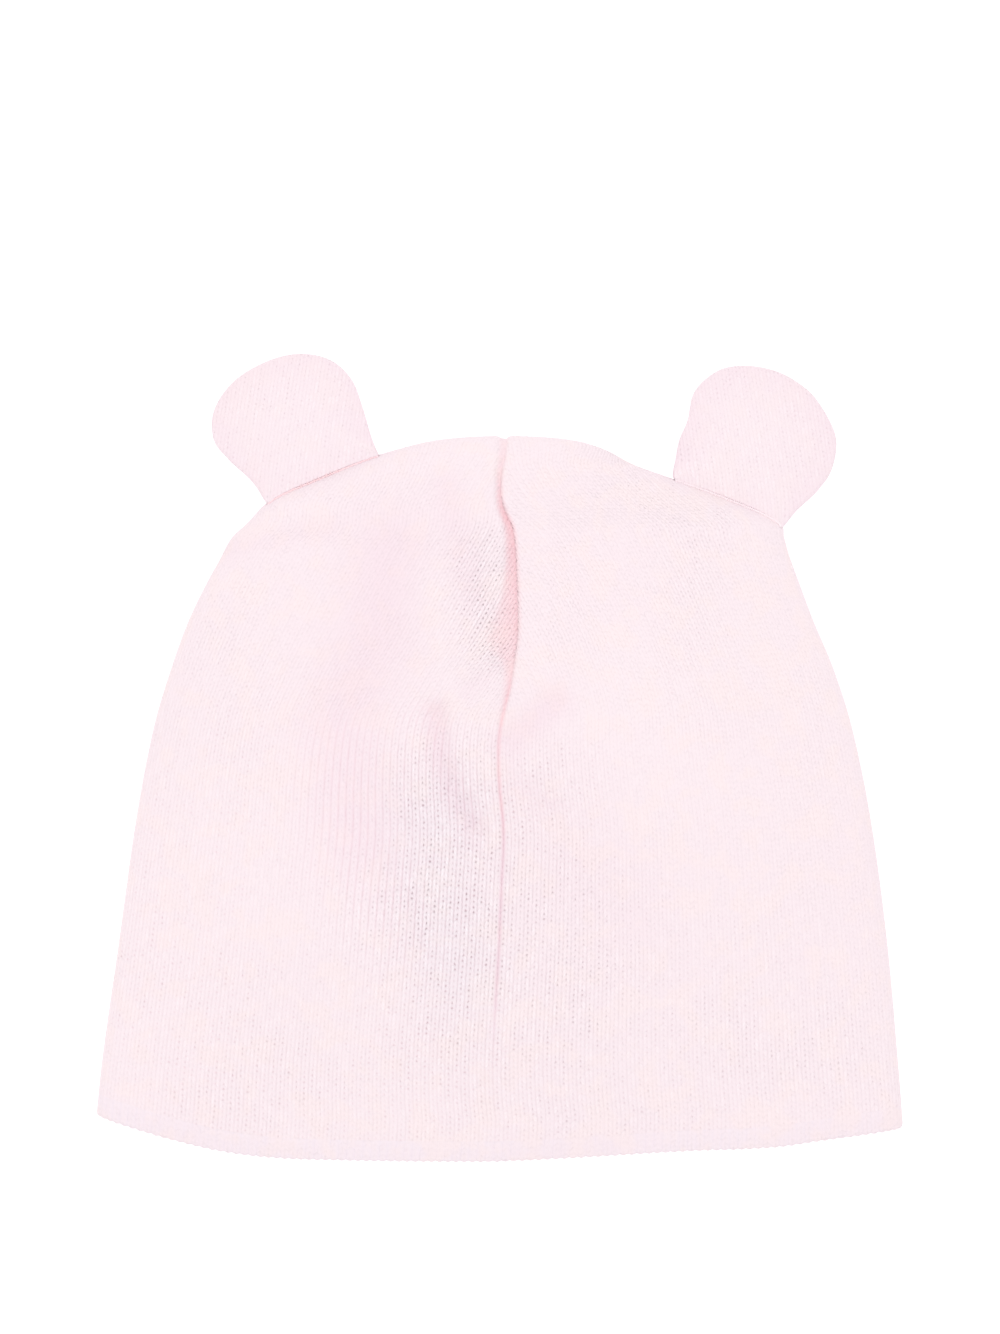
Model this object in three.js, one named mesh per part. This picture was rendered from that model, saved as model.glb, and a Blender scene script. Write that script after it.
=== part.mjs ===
// Baby hat with ears: a fine knit beanie that lies flat on its front, with its back up, and two small
// round ears sewn into the seams of the crown. Millimetres. X runs across the hat, Y from the hem to the
// crown, and Z up from the surface that it lies on.

import * as THREE from "three";
import { mergeVertices } from "three/addons/utils/BufferGeometryUtils.js";

// Sizes of the hat
const HAT_WIDTH = 189; // across the hem, from side fold to side fold
const HAT_LENGTH = 170.5; // middle of the hem to the crown point
const HAT_LOFT = 30; // surface to the highest part of the back
const HEM_LOFT = 14; // surface to the top of the mouth
const KNIT_WALL = 2.2; // double layer of fine rib
const SIDE_FOLD_HEIGHT = 4.5; // height of the line where the hat is widest
const CROWN_FOLD_HEIGHT = 7; // the same line's height at the crown
const UNDERSIDE_ROUNDING = 8; // how far in from the outline the underside lies flat
const HEM_BOW_LEFT = 10; // how far the hem's left corner lies up from its middle
const HEM_BOW_RIGHT = 8.5; // the same for its right corner

// Sizes of the ears
const EAR_WIDTH = 36;
const EAR_LENGTH = 32;
const EAR_THICKNESS = 4.4;
const EAR_EDGE_THICKNESS = 1.8;
const EAR_TIP_CLEARANCE = 0.3; // left between the ear's drooping edge and the surface
const EAR_SEAM_GAP = 0.3;

// Sizes of the crown's dart, a tuck that closes over the back seam
const DART_DEPTH = 8.5;
const DART_LEFT_SLOPE = 6.5; // how far out the gentle flank starts
const DART_RIGHT_SLOPE = 1.9; // the same for the steep flank, under the fuller right lobe

// Fineness of the surfaces
const ROWS = 30;
const BACK_COLUMNS = 36;
const FRONT_COLUMNS = 22;
const EAR_RINGS = 6;
const EAR_BASE_STEPS = 8;
const EAR_EDGE_STEPS = 34;

// The hat's outline and its back seam. up is a share of the hat's length, and left, right and seam are
// shares of half the hat's width.
const OUTLINE = [
  { up: 0.0, left: 1.0, right: 1.0, seam: -0.015 },
  { up: 0.14, left: 0.985, right: 0.988, seam: -0.012 },
  { up: 0.3, left: 0.946, right: 0.96, seam: -0.002 },
  { up: 0.47, left: 0.903, right: 0.922, seam: 0.01 },
  { up: 0.6, left: 0.858, right: 0.873, seam: 0.004 },
  { up: 0.68, left: 0.815, right: 0.828, seam: 0.03 },
  { up: 0.75, left: 0.768, right: 0.777, seam: 0.04 },
  { up: 0.83, left: 0.697, right: 0.728, seam: 0.036 },
  { up: 0.875, left: 0.646, right: 0.71, seam: 0.018 },
  { up: 0.912, left: 0.571, right: 0.568, seam: 0.01 },
  { up: 0.94, left: 0.45, right: 0.452, seam: 0.01 },
  { up: 0.967, left: 0.333, right: 0.33, seam: 0.014 },
  { up: 0.981, left: 0.262, right: 0.276, seam: 0.018 },
  { up: 0.9945, left: 0.172, right: 0.2, seam: 0.02 },
  { up: 1.0, left: 0.0, right: 0.0, seam: 0.02 },
];

// How high the back stands along its middle, as a share of the loft above the hem's own.
const LOFT = [
  { up: 0.0, rise: 0.0 },
  { up: 0.15, rise: 0.42 },
  { up: 0.32, rise: 0.76 },
  { up: 0.5, rise: 0.96 },
  { up: 0.66, rise: 1.0 },
  { up: 1.0, rise: 1.0 },
];

// How deep the tuck is along the seam, as a share of the dart's depth.
const DART = [
  { up: 0.0, depth: 0.0 },
  { up: 0.52, depth: 0.02 },
  { up: 0.58, depth: 0.07 },
  { up: 0.62, depth: 0.28 },
  { up: 0.68, depth: 0.82 },
  { up: 0.75, depth: 1.0 },
  { up: 0.83, depth: 0.7 },
  { up: 0.91, depth: 0.36 },
  { up: 1.0, depth: 0.2 },
];

// Soft dents and creases of the back. Each is a trough from one point to another: across is a share of half
// the hat's width, up a share of its length, and reach and depth are shares of its loft.
const DENTS = [
  { across: [-0.175, -0.04], up: [0.595, 0.455], reach: 0.13, depth: 0.11 },
  { across: [-0.075, 0.0], up: [0.65, 0.7], reach: 0.08, depth: 0.07 },
  { across: [-0.33, -0.42], up: [0.79, 0.58], reach: 0.45, depth: 0.07 },
  { across: [-0.42, -0.22], up: [0.58, 0.29], reach: 0.45, depth: 0.07 },
  { across: [0.25, 0.04], up: [0.69, 0.575], reach: 0.2, depth: 0.05 },
  { across: [0.15, 0.3], up: [0.36, 0.3], reach: 0.26, depth: 0.04 },
];

// Each ear's outline from its outer neck round to its inner neck. along is a share of the ear's width, from
// the middle of its seam, and out a share of its length. outerUp and innerUp say where its seam ends lie on
// the hat's outline, as shares of the hat's length.
const EARS = [
  {
    name: "ear_left",
    side: -1,
    outerUp: 0.908,
    innerUp: 0.974,
    outline: [
      { along: -0.44, out: 0.2 },
      { along: -0.52, out: 0.4 },
      { along: -0.56, out: 0.59 },
      { along: -0.48, out: 0.79 },
      { along: -0.28, out: 0.93 },
      { along: -0.02, out: 0.965 },
      { along: 0.19, out: 0.915 },
      { along: 0.35, out: 0.785 },
      { along: 0.425, out: 0.59 },
      { along: 0.42, out: 0.38 },
      { along: 0.395, out: 0.13 },
    ],
  },
  {
    name: "ear_right",
    side: 1,
    outerUp: 0.878,
    innerUp: 0.94,
    outline: [
      { along: -0.42, out: 0.15 },
      { along: -0.49, out: 0.34 },
      { along: -0.53, out: 0.53 },
      { along: -0.44, out: 0.73 },
      { along: -0.26, out: 0.93 },
      { along: -0.11, out: 1.02 },
      { along: 0.06, out: 1.03 },
      { along: 0.24, out: 0.98 },
      { along: 0.39, out: 0.87 },
      { along: 0.48, out: 0.66 },
      { along: 0.45, out: 0.44 },
      { along: 0.45, out: 0.28 },
      { along: 0.42, out: 0.12 },
    ],
  },
];

const HALF_WIDTH = HAT_WIDTH / 2;
const DOME_START = 0.5; // share of the length above which the tube of the hat closes into its dome
const DOME_HEIGHT = HAT_LENGTH * (1 - DOME_START);
const FOLD_RISE = { from: 0.6, to: 0.95 }; // shares of the length between which the fold line climbs
const NOTCH_START = 0.96; // share of the length where the tuck starts on the underside
const HEM_BOW_LEFT_POWER = 3;
const HEM_BOW_RIGHT_POWER = 2.2;
const HEM_BOW_FADE = 1.5;
const BACK_FULLNESS = 0.9; // under 1, the back's cross-section is fuller than a parabola
const SEAM_CROWDING = 1.45; // over 1, the back's columns lie closer at the seam
const WALL_TURN = 0.4; // share of the smooth skin's direction in the wall's at the hem
const EAR_HEART = 0.5; // middle of the ear's rings, as a share of its length
const EAR_DROOP = { from: -0.1, to: 1 }; // shares of the ear's length over which it droops
const EAR_PUFF = 3; // over 1, the ear stays thick until near its edge
const BODY_COLOUR = 0xfcecf0;
const EAR_COLOUR = 0xfbedf1;
const KNIT_ROUGHNESS = 0.95;

const { clamp, lerp, smoothstep } = THREE.MathUtils;

// Where a share of the length lies on a row scale that is even round the dome.
function rowOf(up) {
  return Math.asin(up) / (Math.PI / 2);
}

// A smooth function of the share of the length through one column of a table.
function column(table, key) {
  const places = table.map((row) => rowOf(row.up));
  const values = table.map((row) => row[key]);
  const curve = new THREE.CubicInterpolant(places, values, 1);
  return (up) => curve.evaluate(rowOf(clamp(up, 0, 1)))[0];
}

const outline = {
  left: column(OUTLINE, "left"),
  right: column(OUTLINE, "right"),
  seam: column(OUTLINE, "seam"),
};
const loftRise = column(LOFT, "rise");
const dartDepth = column(DART, "depth");

// How far across the hat's outline lies at a height, on the side given by its sign.
function outlineX(side, up) {
  return side * HALF_WIDTH * (side < 0 ? outline.left(up) : outline.right(up));
}

function seamX(up) {
  return HALF_WIDTH * outline.seam(up);
}

function foldHeight(up) {
  return lerp(SIDE_FOLD_HEIGHT, CROWN_FOLD_HEIGHT, smoothstep(up, FOLD_RISE.from, FOLD_RISE.to));
}

// Height share of a point of a row: the hem's bow fades out towards the crown.
function bowedUp(row, across) {
  const middle = Math.sin((row * Math.PI) / 2);
  const rise = across < 0 ? HEM_BOW_LEFT : HEM_BOW_RIGHT;
  const power = across < 0 ? HEM_BOW_LEFT_POWER : HEM_BOW_RIGHT_POWER;
  return middle + (rise / HAT_LENGTH) * (1 - row) ** HEM_BOW_FADE * Math.abs(across) ** power;
}

// Quarter circle that rises from 0 at the outline to 1 at the given reach.
function rounded(distance, reach) {
  return Math.sqrt(Math.max(0, 1 - (1 - Math.min(distance / reach, 1)) ** 2));
}

// A point of the hat's smooth outer skin. across goes from -1 at the left fold to 1 at the right fold.
function skinPoint(row, across, isBack) {
  const side = across < 0 ? -1 : 1;
  const sideUp = bowedUp(row, side);
  const up = bowedUp(row, across);
  const seam = seamX(sideUp);
  const x = seam + Math.abs(across) * (outlineX(side, sideUp) - seam);

  const climb = clamp((up - DOME_START) / (1 - DOME_START), 0, 1);
  const inward = Math.max(0, (1 - climb ** 2) * (1 - across ** 2));
  const tubeRadius = HALF_WIDTH * outline.left(Math.min(sideUp, DOME_START));
  const radius = lerp(tubeRadius, DOME_HEIGHT, climb ** 2);
  const fromEdge = radius * (1 - Math.sqrt(1 - inward));

  const fold = foldHeight(up);
  if (!isBack) {
    return new THREE.Vector3(x, up * HAT_LENGTH, fold * (1 - rounded(fromEdge, UNDERSIDE_ROUNDING)));
  }
  const loft = lerp(HEM_LOFT, HAT_LOFT, loftRise(up));
  const z = fold * (1 + rounded(fromEdge, fold)) + (loft - 2 * fold) * inward ** BACK_FULLNESS;
  return new THREE.Vector3(x, up * HAT_LENGTH, z);
}

// Distance in plan from a point to a dent's line.
function fromDent(point, dent) {
  const start = new THREE.Vector2(dent.across[0] * HALF_WIDTH, dent.up[0] * HAT_LENGTH);
  const end = new THREE.Vector2(dent.across[1] * HALF_WIDTH, dent.up[1] * HAT_LENGTH);
  const run = end.clone().sub(start);
  const offset = new THREE.Vector2(point.x, point.y).sub(start);
  const share = clamp(offset.dot(run) / run.lengthSq(), 0, 1);
  return offset.distanceTo(run.multiplyScalar(share));
}

// A trough's depth at a distance from its line, as a share of its depth on the line.
function trough(distance, reach) {
  return Math.exp(-((distance / reach) ** 2));
}

// The tuck's depth at a point, as a share of its depth on the seam. Its left flank is gentle and its right
// one steep.
function tuckShare(point) {
  const offSeam = point.x - seamX(point.y / HAT_LENGTH);
  return trough(offSeam, offSeam < 0 ? DART_LEFT_SLOPE : DART_RIGHT_SLOPE);
}

// How far the skin is pushed in at a point of the back.
function backDepth(point) {
  let depth = DART_DEPTH * dartDepth(point.y / HAT_LENGTH) * tuckShare(point);
  for (const dent of DENTS) {
    depth += HAT_LOFT * dent.depth * trough(fromDent(point, dent), dent.reach * HAT_LOFT);
  }
  return depth;
}

// The tuck runs over the crown and fades out on the underside, so that the outline has its notch there.
function frontDepth(point) {
  const fade = smoothstep(point.y / HAT_LENGTH, NOTCH_START, 1);
  return DART_DEPTH * dartDepth(1) * fade * tuckShare(point);
}

// The columns of one row, round the hat from the left fold over the back and home under the front. Those of
// the back are closer at the seam and at the folds, where the skin bends most.
const ring = [];
for (let i = 0; i < BACK_COLUMNS; i += 1) {
  const even = (2 * i) / BACK_COLUMNS - 1;
  const across = Math.sign(even) * Math.sin((Math.PI / 2) * Math.abs(even) ** SEAM_CROWDING);
  ring.push({ across, isBack: true });
}
for (let i = 0; i < FRONT_COLUMNS; i += 1) {
  ring.push({ across: Math.cos((Math.PI * i) / FRONT_COLUMNS), isBack: false });
}

function indexedGeometry(points, triangles) {
  const geometry = new THREE.BufferGeometry();
  const positions = points.flatMap((point) => point.toArray());
  geometry.setAttribute("position", new THREE.Float32BufferAttribute(positions, 3));
  geometry.setIndex(triangles.flat());
  return geometry;
}

// Triangles between two rings of a skin, whose rings follow each other in the list of points.
function stripTriangles(lower, upper, count) {
  const triangles = [];
  for (let i = 0; i < count; i += 1) {
    const next = (i + 1) % count;
    triangles.push([lower + i, lower + next, upper + next]);
    triangles.push([lower + i, upper + next, upper + i]);
  }
  return triangles;
}

function fanTriangles(last, pole, count) {
  return Array.from({ length: count }, (_, i) => [last + i, last + ((i + 1) % count), pole]);
}

function vertexNormals(points, triangles) {
  const geometry = indexedGeometry(points, triangles);
  geometry.computeVertexNormals();
  const normals = geometry.getAttribute("normal");
  return points.map((_, i) => new THREE.Vector3().fromBufferAttribute(normals, i));
}

// The knit shell: an outer skin from the hem to the crown point, an inner skin one wall inside it, and the
// hem's edge between them.
function knitBody() {
  const count = ring.length;
  const skin = [];
  for (let j = 0; j < ROWS; j += 1) {
    for (const place of ring) {
      skin.push(skinPoint(j / ROWS, place.across, place.isBack));
    }
  }
  skin.push(skinPoint(1, 0, true));
  const pole = skin.length - 1;

  const faces = [];
  for (let j = 0; j < ROWS - 1; j += 1) {
    faces.push(...stripTriangles(j * count, (j + 1) * count, count));
  }
  faces.push(...fanTriangles((ROWS - 1) * count, pole, count));

  const smooth = vertexNormals(skin, faces);
  const outer = skin.map((point, i) => {
    const isBack = i === pole || ring[i % count].isBack;
    const depth = isBack ? backDepth(point) : frontDepth(point);
    return point.clone().addScaledVector(smooth[i], -depth);
  });

  // The wall's direction turns from the dented skin's to the smooth one's towards the crown, so that the
  // inner skin doesn't cross itself behind the tuck.
  const dented = vertexNormals(outer, faces);
  const inner = outer.map((point, i) => {
    const row = Math.floor(i / count) / ROWS;
    const normal = dented[i].lerp(smooth[i], lerp(WALL_TURN, 1, row));
    if (row === 0) {
      normal.setY(0);
    }
    return point.clone().addScaledVector(normal.normalize(), -KNIT_WALL);
  });

  const inside = faces.map(([a, b, c]) => [a + outer.length, c + outer.length, b + outer.length]);
  const rim = stripTriangles(outer.length, 0, count);
  return indexedGeometry([...outer, ...inner], [...faces, ...inside, ...rim]);
}

// An ear: a soft double layer of knit, thin at its edge. Its seam edge follows the hat's outline with a
// small gap, and it droops from the seam to the surface.
function earGeometry(ear) {
  const neck = (up) => new THREE.Vector2(outlineX(ear.side, up), up * HAT_LENGTH);
  const outer = neck(ear.outerUp);
  const innerNeck = neck(ear.innerUp);
  const along = innerNeck.clone().sub(outer).normalize();
  const out = new THREE.Vector2(-along.y, along.x).multiplyScalar(-ear.side);
  const middle = outer.clone().add(innerNeck).multiplyScalar(0.5);
  const place = (a, b) => middle.clone().addScaledVector(along, a).addScaledVector(out, b);

  const seam = [];
  for (let i = 0; i <= EAR_BASE_STEPS; i += 1) {
    const up = lerp(ear.innerUp, ear.outerUp, i / EAR_BASE_STEPS);
    seam.push(neck(up).addScaledVector(out, EAR_SEAM_GAP));
  }
  const bends = ear.outline.map((row) => place(row.along * EAR_WIDTH, row.out * EAR_LENGTH));
  const edge = new THREE.SplineCurve([seam[EAR_BASE_STEPS], ...bends, seam[0]]);
  const loop = [...seam, ...edge.getSpacedPoints(EAR_EDGE_STEPS).slice(1, -1)];
  if (ear.side < 0) {
    loop.reverse();
  }

  const centre = place(0, EAR_LENGTH * EAR_HEART);
  const rootHeight = foldHeight((ear.outerUp + ear.innerUp) / 2);
  const tipHeight = EAR_TIP_CLEARANCE + EAR_EDGE_THICKNESS / 2;
  const earPoint = (spot, offset) => {
    const share = spot.clone().sub(middle).dot(out) / EAR_LENGTH;
    const droop = smoothstep(share, EAR_DROOP.from, EAR_DROOP.to);
    const clearance = EAR_TIP_CLEARANCE + Math.abs(offset);
    const height = Math.max(lerp(rootHeight, tipHeight, droop), clearance);
    return new THREE.Vector3(spot.x, spot.y, height + offset);
  };
  const layer = (sign) => {
    const points = [];
    for (let k = 1; k <= EAR_RINGS; k += 1) {
      const share = Math.sin((Math.PI / 2) * (k / EAR_RINGS));
      const puff = ((EAR_THICKNESS - EAR_EDGE_THICKNESS) / 2) * Math.sqrt(1 - share ** EAR_PUFF);
      for (const point of loop) {
        const spot = centre.clone().lerp(point, share);
        points.push(earPoint(spot, sign * (puff + EAR_EDGE_THICKNESS / 2)));
      }
    }
    points.push(earPoint(centre, (sign * EAR_THICKNESS) / 2));
    return points;
  };

  const top = layer(1);
  const bottom = layer(-1);
  const count = loop.length;
  const faces = [];
  for (let k = 0; k < EAR_RINGS - 1; k += 1) {
    faces.push(...stripTriangles((k + 1) * count, k * count, count));
  }
  faces.push(...fanTriangles(0, top.length - 1, count));
  const under = faces.map(([a, b, c]) => [a + top.length, c + top.length, b + top.length]);
  const lastRing = (EAR_RINGS - 1) * count;
  const rim = stripTriangles(top.length + lastRing, lastRing, count);
  return indexedGeometry([...top, ...bottom], [...faces, ...under, ...rim]);
}

function knitMaterial(colour) {
  return new THREE.MeshStandardMaterial({ color: colour, roughness: KNIT_ROUGHNESS, metalness: 0 });
}

function knitMesh(name, geometry, colour) {
  const mesh = new THREE.Mesh(mergeVertices(geometry), knitMaterial(colour));
  mesh.name = name;
  return mesh;
}

const hat = new THREE.Group();
hat.name = "baby_hat_with_ears";
hat.add(knitMesh("knit_body", knitBody(), BODY_COLOUR));
for (const ear of EARS) {
  hat.add(knitMesh(ear.name, earGeometry(ear), EAR_COLOUR));
}

// The origin is the middle of the hat's plan, on the surface that it lies on.
const planMiddle = new THREE.Box3().setFromObject(hat).getCenter(new THREE.Vector3());
hat.position.set(-planMiddle.x, -planMiddle.y, 0);

export default hat;
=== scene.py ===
"""Looks of the baby hat with ears: a fine rib beanie that lies flat on its front, with its back up.

Everything is in metres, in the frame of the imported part: X runs across the hat, Y from the hem to the
crown and Z up from the surface that it lies on. Tables give shares of the hat's own sizes.
"""

import logging
import math
from dataclasses import dataclass
from enum import Enum
from typing import Callable, NamedTuple, Sequence

import bmesh
import bpy
import numpy as np
from mathutils import Matrix, Vector
from mathutils.bvhtree import BVHTree


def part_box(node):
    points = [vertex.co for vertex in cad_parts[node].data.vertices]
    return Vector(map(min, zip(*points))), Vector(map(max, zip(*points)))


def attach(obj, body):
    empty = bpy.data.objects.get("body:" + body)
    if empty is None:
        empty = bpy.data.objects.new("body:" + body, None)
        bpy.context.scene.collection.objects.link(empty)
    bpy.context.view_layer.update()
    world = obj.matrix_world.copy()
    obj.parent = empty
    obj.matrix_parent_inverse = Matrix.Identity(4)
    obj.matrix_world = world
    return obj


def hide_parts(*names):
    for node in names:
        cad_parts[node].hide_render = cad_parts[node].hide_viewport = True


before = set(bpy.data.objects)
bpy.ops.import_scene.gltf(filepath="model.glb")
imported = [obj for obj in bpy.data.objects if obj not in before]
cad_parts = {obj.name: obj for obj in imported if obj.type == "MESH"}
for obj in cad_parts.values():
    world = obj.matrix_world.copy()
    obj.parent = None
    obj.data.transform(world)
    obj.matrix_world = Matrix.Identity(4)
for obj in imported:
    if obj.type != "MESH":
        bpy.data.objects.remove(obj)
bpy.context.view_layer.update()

MM = 0.001
ROOT = "root"

# Guards against division by nothing, and the step over which a surface's directions are measured
TINY = 1e-12
LEAST_RIBS = 1e-9
STEP = 1e-3

# How near two vertices are that become one, on the whole mesh and on edges that are still open
WELD = 2e-7
OPEN_WELD = 1e-4

# Where the hem's courses end on a piece that has none
NO_HEM = -1e6

log = logging.getLogger("baby_hat")
Array = np.ndarray
Surface = Callable[[Array, Array, Array], Array]
Socket = bpy.types.NodeSocket
Inputs = dict[str, object]
Colour = tuple[float, float, float, float]


class Side(Enum):
    """The two halves of the hat, with the sign of X on each."""

    LEFT = -1
    RIGHT = 1


class Slot(Enum):
    """The record's material slots."""

    HAT = "hat_knit"
    EAR = "ear_knit"


class Mixing(Enum):
    """Ways to mix two colours."""

    PLAIN = "MIX"
    TIMES = "MULTIPLY"


# Arithmetic on arrays


def mix(start: Array, end: Array, share: Array) -> Array:
    """Gives the value that lies a share of the way from start to end."""
    return start + (end - start) * share


def ease(value: Array, start: float, end: float) -> Array:
    """Gives a smooth step from 0 at start to 1 at end."""
    share = np.clip((value - start) / (end - start), 0, 1)
    return share * share * (3 - 2 * share)


def trough(distance: Array, reach: Array) -> Array:
    """Gives a soft trough's depth at a distance from its line, as a share of its depth on the line."""
    return np.exp(-((distance / reach) ** 2))


def rounded(distance: Array, reach: Array) -> Array:
    """Gives the quarter circle that rises from 0 at the edge to 1 at the given reach."""
    return np.sqrt(np.maximum(0, 1 - (1 - np.minimum(distance / reach, 1)) ** 2))


def unit(vectors: Array) -> Array:
    """Gives vectors of length 1 in the same directions."""
    return vectors / np.maximum(np.linalg.norm(vectors, axis=-1, keepdims=True), TINY)


def place_of(up: Array) -> Array:
    """Gives where a share of the length lies on a row scale that is even round the dome."""
    return np.arcsin(np.clip(up, 0, 1)) * 2 / math.pi


def up_of(row: Array) -> Array:
    """Gives the share of the length at a place on the row scale."""
    return np.sin(row * math.pi / 2)


def rib_wave(rib: Array, fullness: float) -> Array:
    """Gives how high ribs stand, from -0.5 in the grooves between them to 0.5 on their crests."""
    return (0.5 - 0.5 * np.cos(2 * math.pi * rib)) ** fullness - 0.5


class TableCurve:
    """A smooth curve through one column of a table."""

    def __init__(self, rows: Sequence[NamedTuple], column: str, key: str = "up") -> None:
        """Keeps the column's places and values.

        Args:
            rows: The table.
            column: The name of the column that the curve goes through.
            key: The name of the column that it runs along. Heights are laid out on the row scale.
        """
        self.is_height = key == "up"
        self.places = self.place(np.array([getattr(r, key) for r in rows], float))
        self.values = np.array([getattr(r, column) for r in rows], float)

    def place(self, key: Array) -> Array:
        """Gives where values of the key column lie along the curve."""
        return place_of(key) if self.is_height else key

    def steps(self) -> tuple[Array, Array]:
        """Gives the gaps between the table's rows, and the slope over each gap."""
        gaps = np.diff(self.places)
        return gaps, np.diff(self.values) / gaps

    def slopes(self) -> Array:
        """Gives the curve's slopes.

        Returns:
            A slope at each of the table's rows.
        """
        _, rises = self.steps()
        inner = (self.values[2:] - self.values[:-2]) / (self.places[2:] - self.places[:-2])
        first = 1.5 * rises[0] - 0.5 * inner[0]
        last = 1.5 * rises[-1] - 0.5 * inner[-1]
        return np.concatenate([[first], inner, [last]])

    def __call__(self, key: Array) -> Array:
        """Gives the curve's value.

        Args:
            key: Values of the key column.

        Returns:
            The value at each of them.
        """
        row = self.place(key)
        i = np.clip(np.searchsorted(self.places, row, side="right") - 1, 0, len(self.places) - 2)
        gap = self.places[i + 1] - self.places[i]
        t = (row - self.places[i]) / gap
        slope = self.slopes()
        value, after = self.values[i], self.values[i + 1]
        return (
            (2 * t**3 - 3 * t**2 + 1) * value
            + (t**3 - 2 * t**2 + t) * gap * slope[i]
            + (3 * t**2 - 2 * t**3) * after
            + (t**3 - t**2) * gap * slope[i + 1]
        )


class MonotoneCurve(TableCurve):
    """A curve through a column that never runs back, for ribs, which never cross each other."""

    def slopes(self) -> Array:
        """Gives slopes that keep the curve between its rows' values.

        Returns:
            A slope at each of the table's rows.
        """
        gaps, rises = self.steps()
        same_way = rises[:-1] * rises[1:] > 0
        first_weight, second_weight = 2 * gaps[1:] + gaps[:-1], gaps[1:] + 2 * gaps[:-1]
        safe = np.where(same_way, rises[:-1], 1), np.where(same_way, rises[1:], 1)
        both = (first_weight + second_weight) / (first_weight / safe[0] + second_weight / safe[1])
        return np.concatenate([[rises[0]], np.where(same_way, both, 0), [rises[-1]]])


# Tables of the hat


class OutlineRow(NamedTuple):
    """The outline at a height: up is a share of the length, the rest of half the width."""

    up: float
    left: float
    right: float


class SeamRow(NamedTuple):
    """How far right of the middle the back seam runs at a height, as a share of half the width."""

    up: float
    across: float


class LoftRow(NamedTuple):
    """How high the back stands along its middle, as a share of the loft above the hem's own."""

    up: float
    rise: float


class DartRow(NamedTuple):
    """The tuck at a height.

    Attributes:
        depth: Its share of the tuck's depth.
        lean: How far its right lip leans, as a share.
        reach: How wide its left side is, in mm.
        flush: How much painted shade, a deeper pink, lies in it, as a share.
    """

    up: float
    depth: float
    lean: float
    reach: float
    flush: float


class RibRow(NamedTuple):
    """Ribs of a quarter that the back seam, the front dart and the top seam have cut off below a height."""

    up: float
    back: float
    front: float
    top: float


class Spot(NamedTuple):
    """A point of the back in plan: across is a share of half the width, up of the length."""

    across: float
    up: float


class Dent(NamedTuple):
    """A trough along a bent line.

    Attributes:
        line: The line's points, in order.
        reach: How far it reaches to each side, as a share of the loft.
        depth: How deep it is, as a share of the loft.
        shade: How much painted shade it lays on the cloth.
    """

    line: tuple[Spot, ...]
    reach: float
    depth: float
    shade: float


class Patch(NamedTuple):
    """A soft patch of the cloth along a bent line: its reach in mm, and how strong it is on the line."""

    line: tuple[Spot, ...]
    reach: float
    strength: float


class HemRow(NamedTuple):
    """How far the hem rises off its straight line, in mm, at a share of half the width."""

    across: float
    left: float
    right: float


class Bend(NamedTuple):
    """A point of an ear's outline: along is a share of its width, out of its length."""

    along: float
    out: float


OUTLINE = (
    OutlineRow(0.0, 1.004, 1.006),
    OutlineRow(0.05, 1.003, 1.007),
    OutlineRow(0.14, 0.987, 0.995),
    OutlineRow(0.3, 0.946, 0.969),
    OutlineRow(0.47, 0.903, 0.928),
    OutlineRow(0.6, 0.858, 0.88),
    OutlineRow(0.68, 0.815, 0.834),
    OutlineRow(0.75, 0.768, 0.781),
    OutlineRow(0.83, 0.694, 0.727),
    OutlineRow(0.86, 0.664, 0.711),
    OutlineRow(0.88, 0.625, 0.7),
    OutlineRow(0.912, 0.565, 0.575),
    OutlineRow(0.94, 0.452, 0.438),
    OutlineRow(0.96, 0.368, 0.338),
    OutlineRow(0.981, 0.264, 0.255),
    OutlineRow(0.9945, 0.165, 0.16),
    OutlineRow(1.0, 0.0, 0.0),
)

SEAM = (
    SeamRow(0.0, -0.0143),
    SeamRow(0.025, -0.011),
    SeamRow(0.05, -0.006),
    SeamRow(0.084, -0.0118),
    SeamRow(0.14, -0.0143),
    SeamRow(0.222, -0.0068),
    SeamRow(0.291, 0.0006),
    SeamRow(0.387, 0.008),
    SeamRow(0.456, 0.013),
    SeamRow(0.518, 0.003),
    SeamRow(0.573, 0.0006),
    SeamRow(0.608, 0.008),
    SeamRow(0.651, 0.0255),
    SeamRow(0.678, 0.033),
    SeamRow(0.718, 0.0455),
    SeamRow(0.752, 0.0475),
    SeamRow(0.812, 0.0445),
    SeamRow(0.846, 0.041),
    SeamRow(0.873, 0.0335),
    SeamRow(0.9, 0.011),
    SeamRow(0.921, 0.0045),
    SeamRow(0.951, 0.0065),
    SeamRow(0.9705, 0.0135),
    SeamRow(1.0, 0.0185),
)

LOFT = (
    LoftRow(0.0, 0.0),
    LoftRow(0.15, 0.42),
    LoftRow(0.32, 0.76),
    LoftRow(0.5, 0.96),
    LoftRow(0.66, 1.0),
    LoftRow(1.0, 1.0),
)

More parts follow.
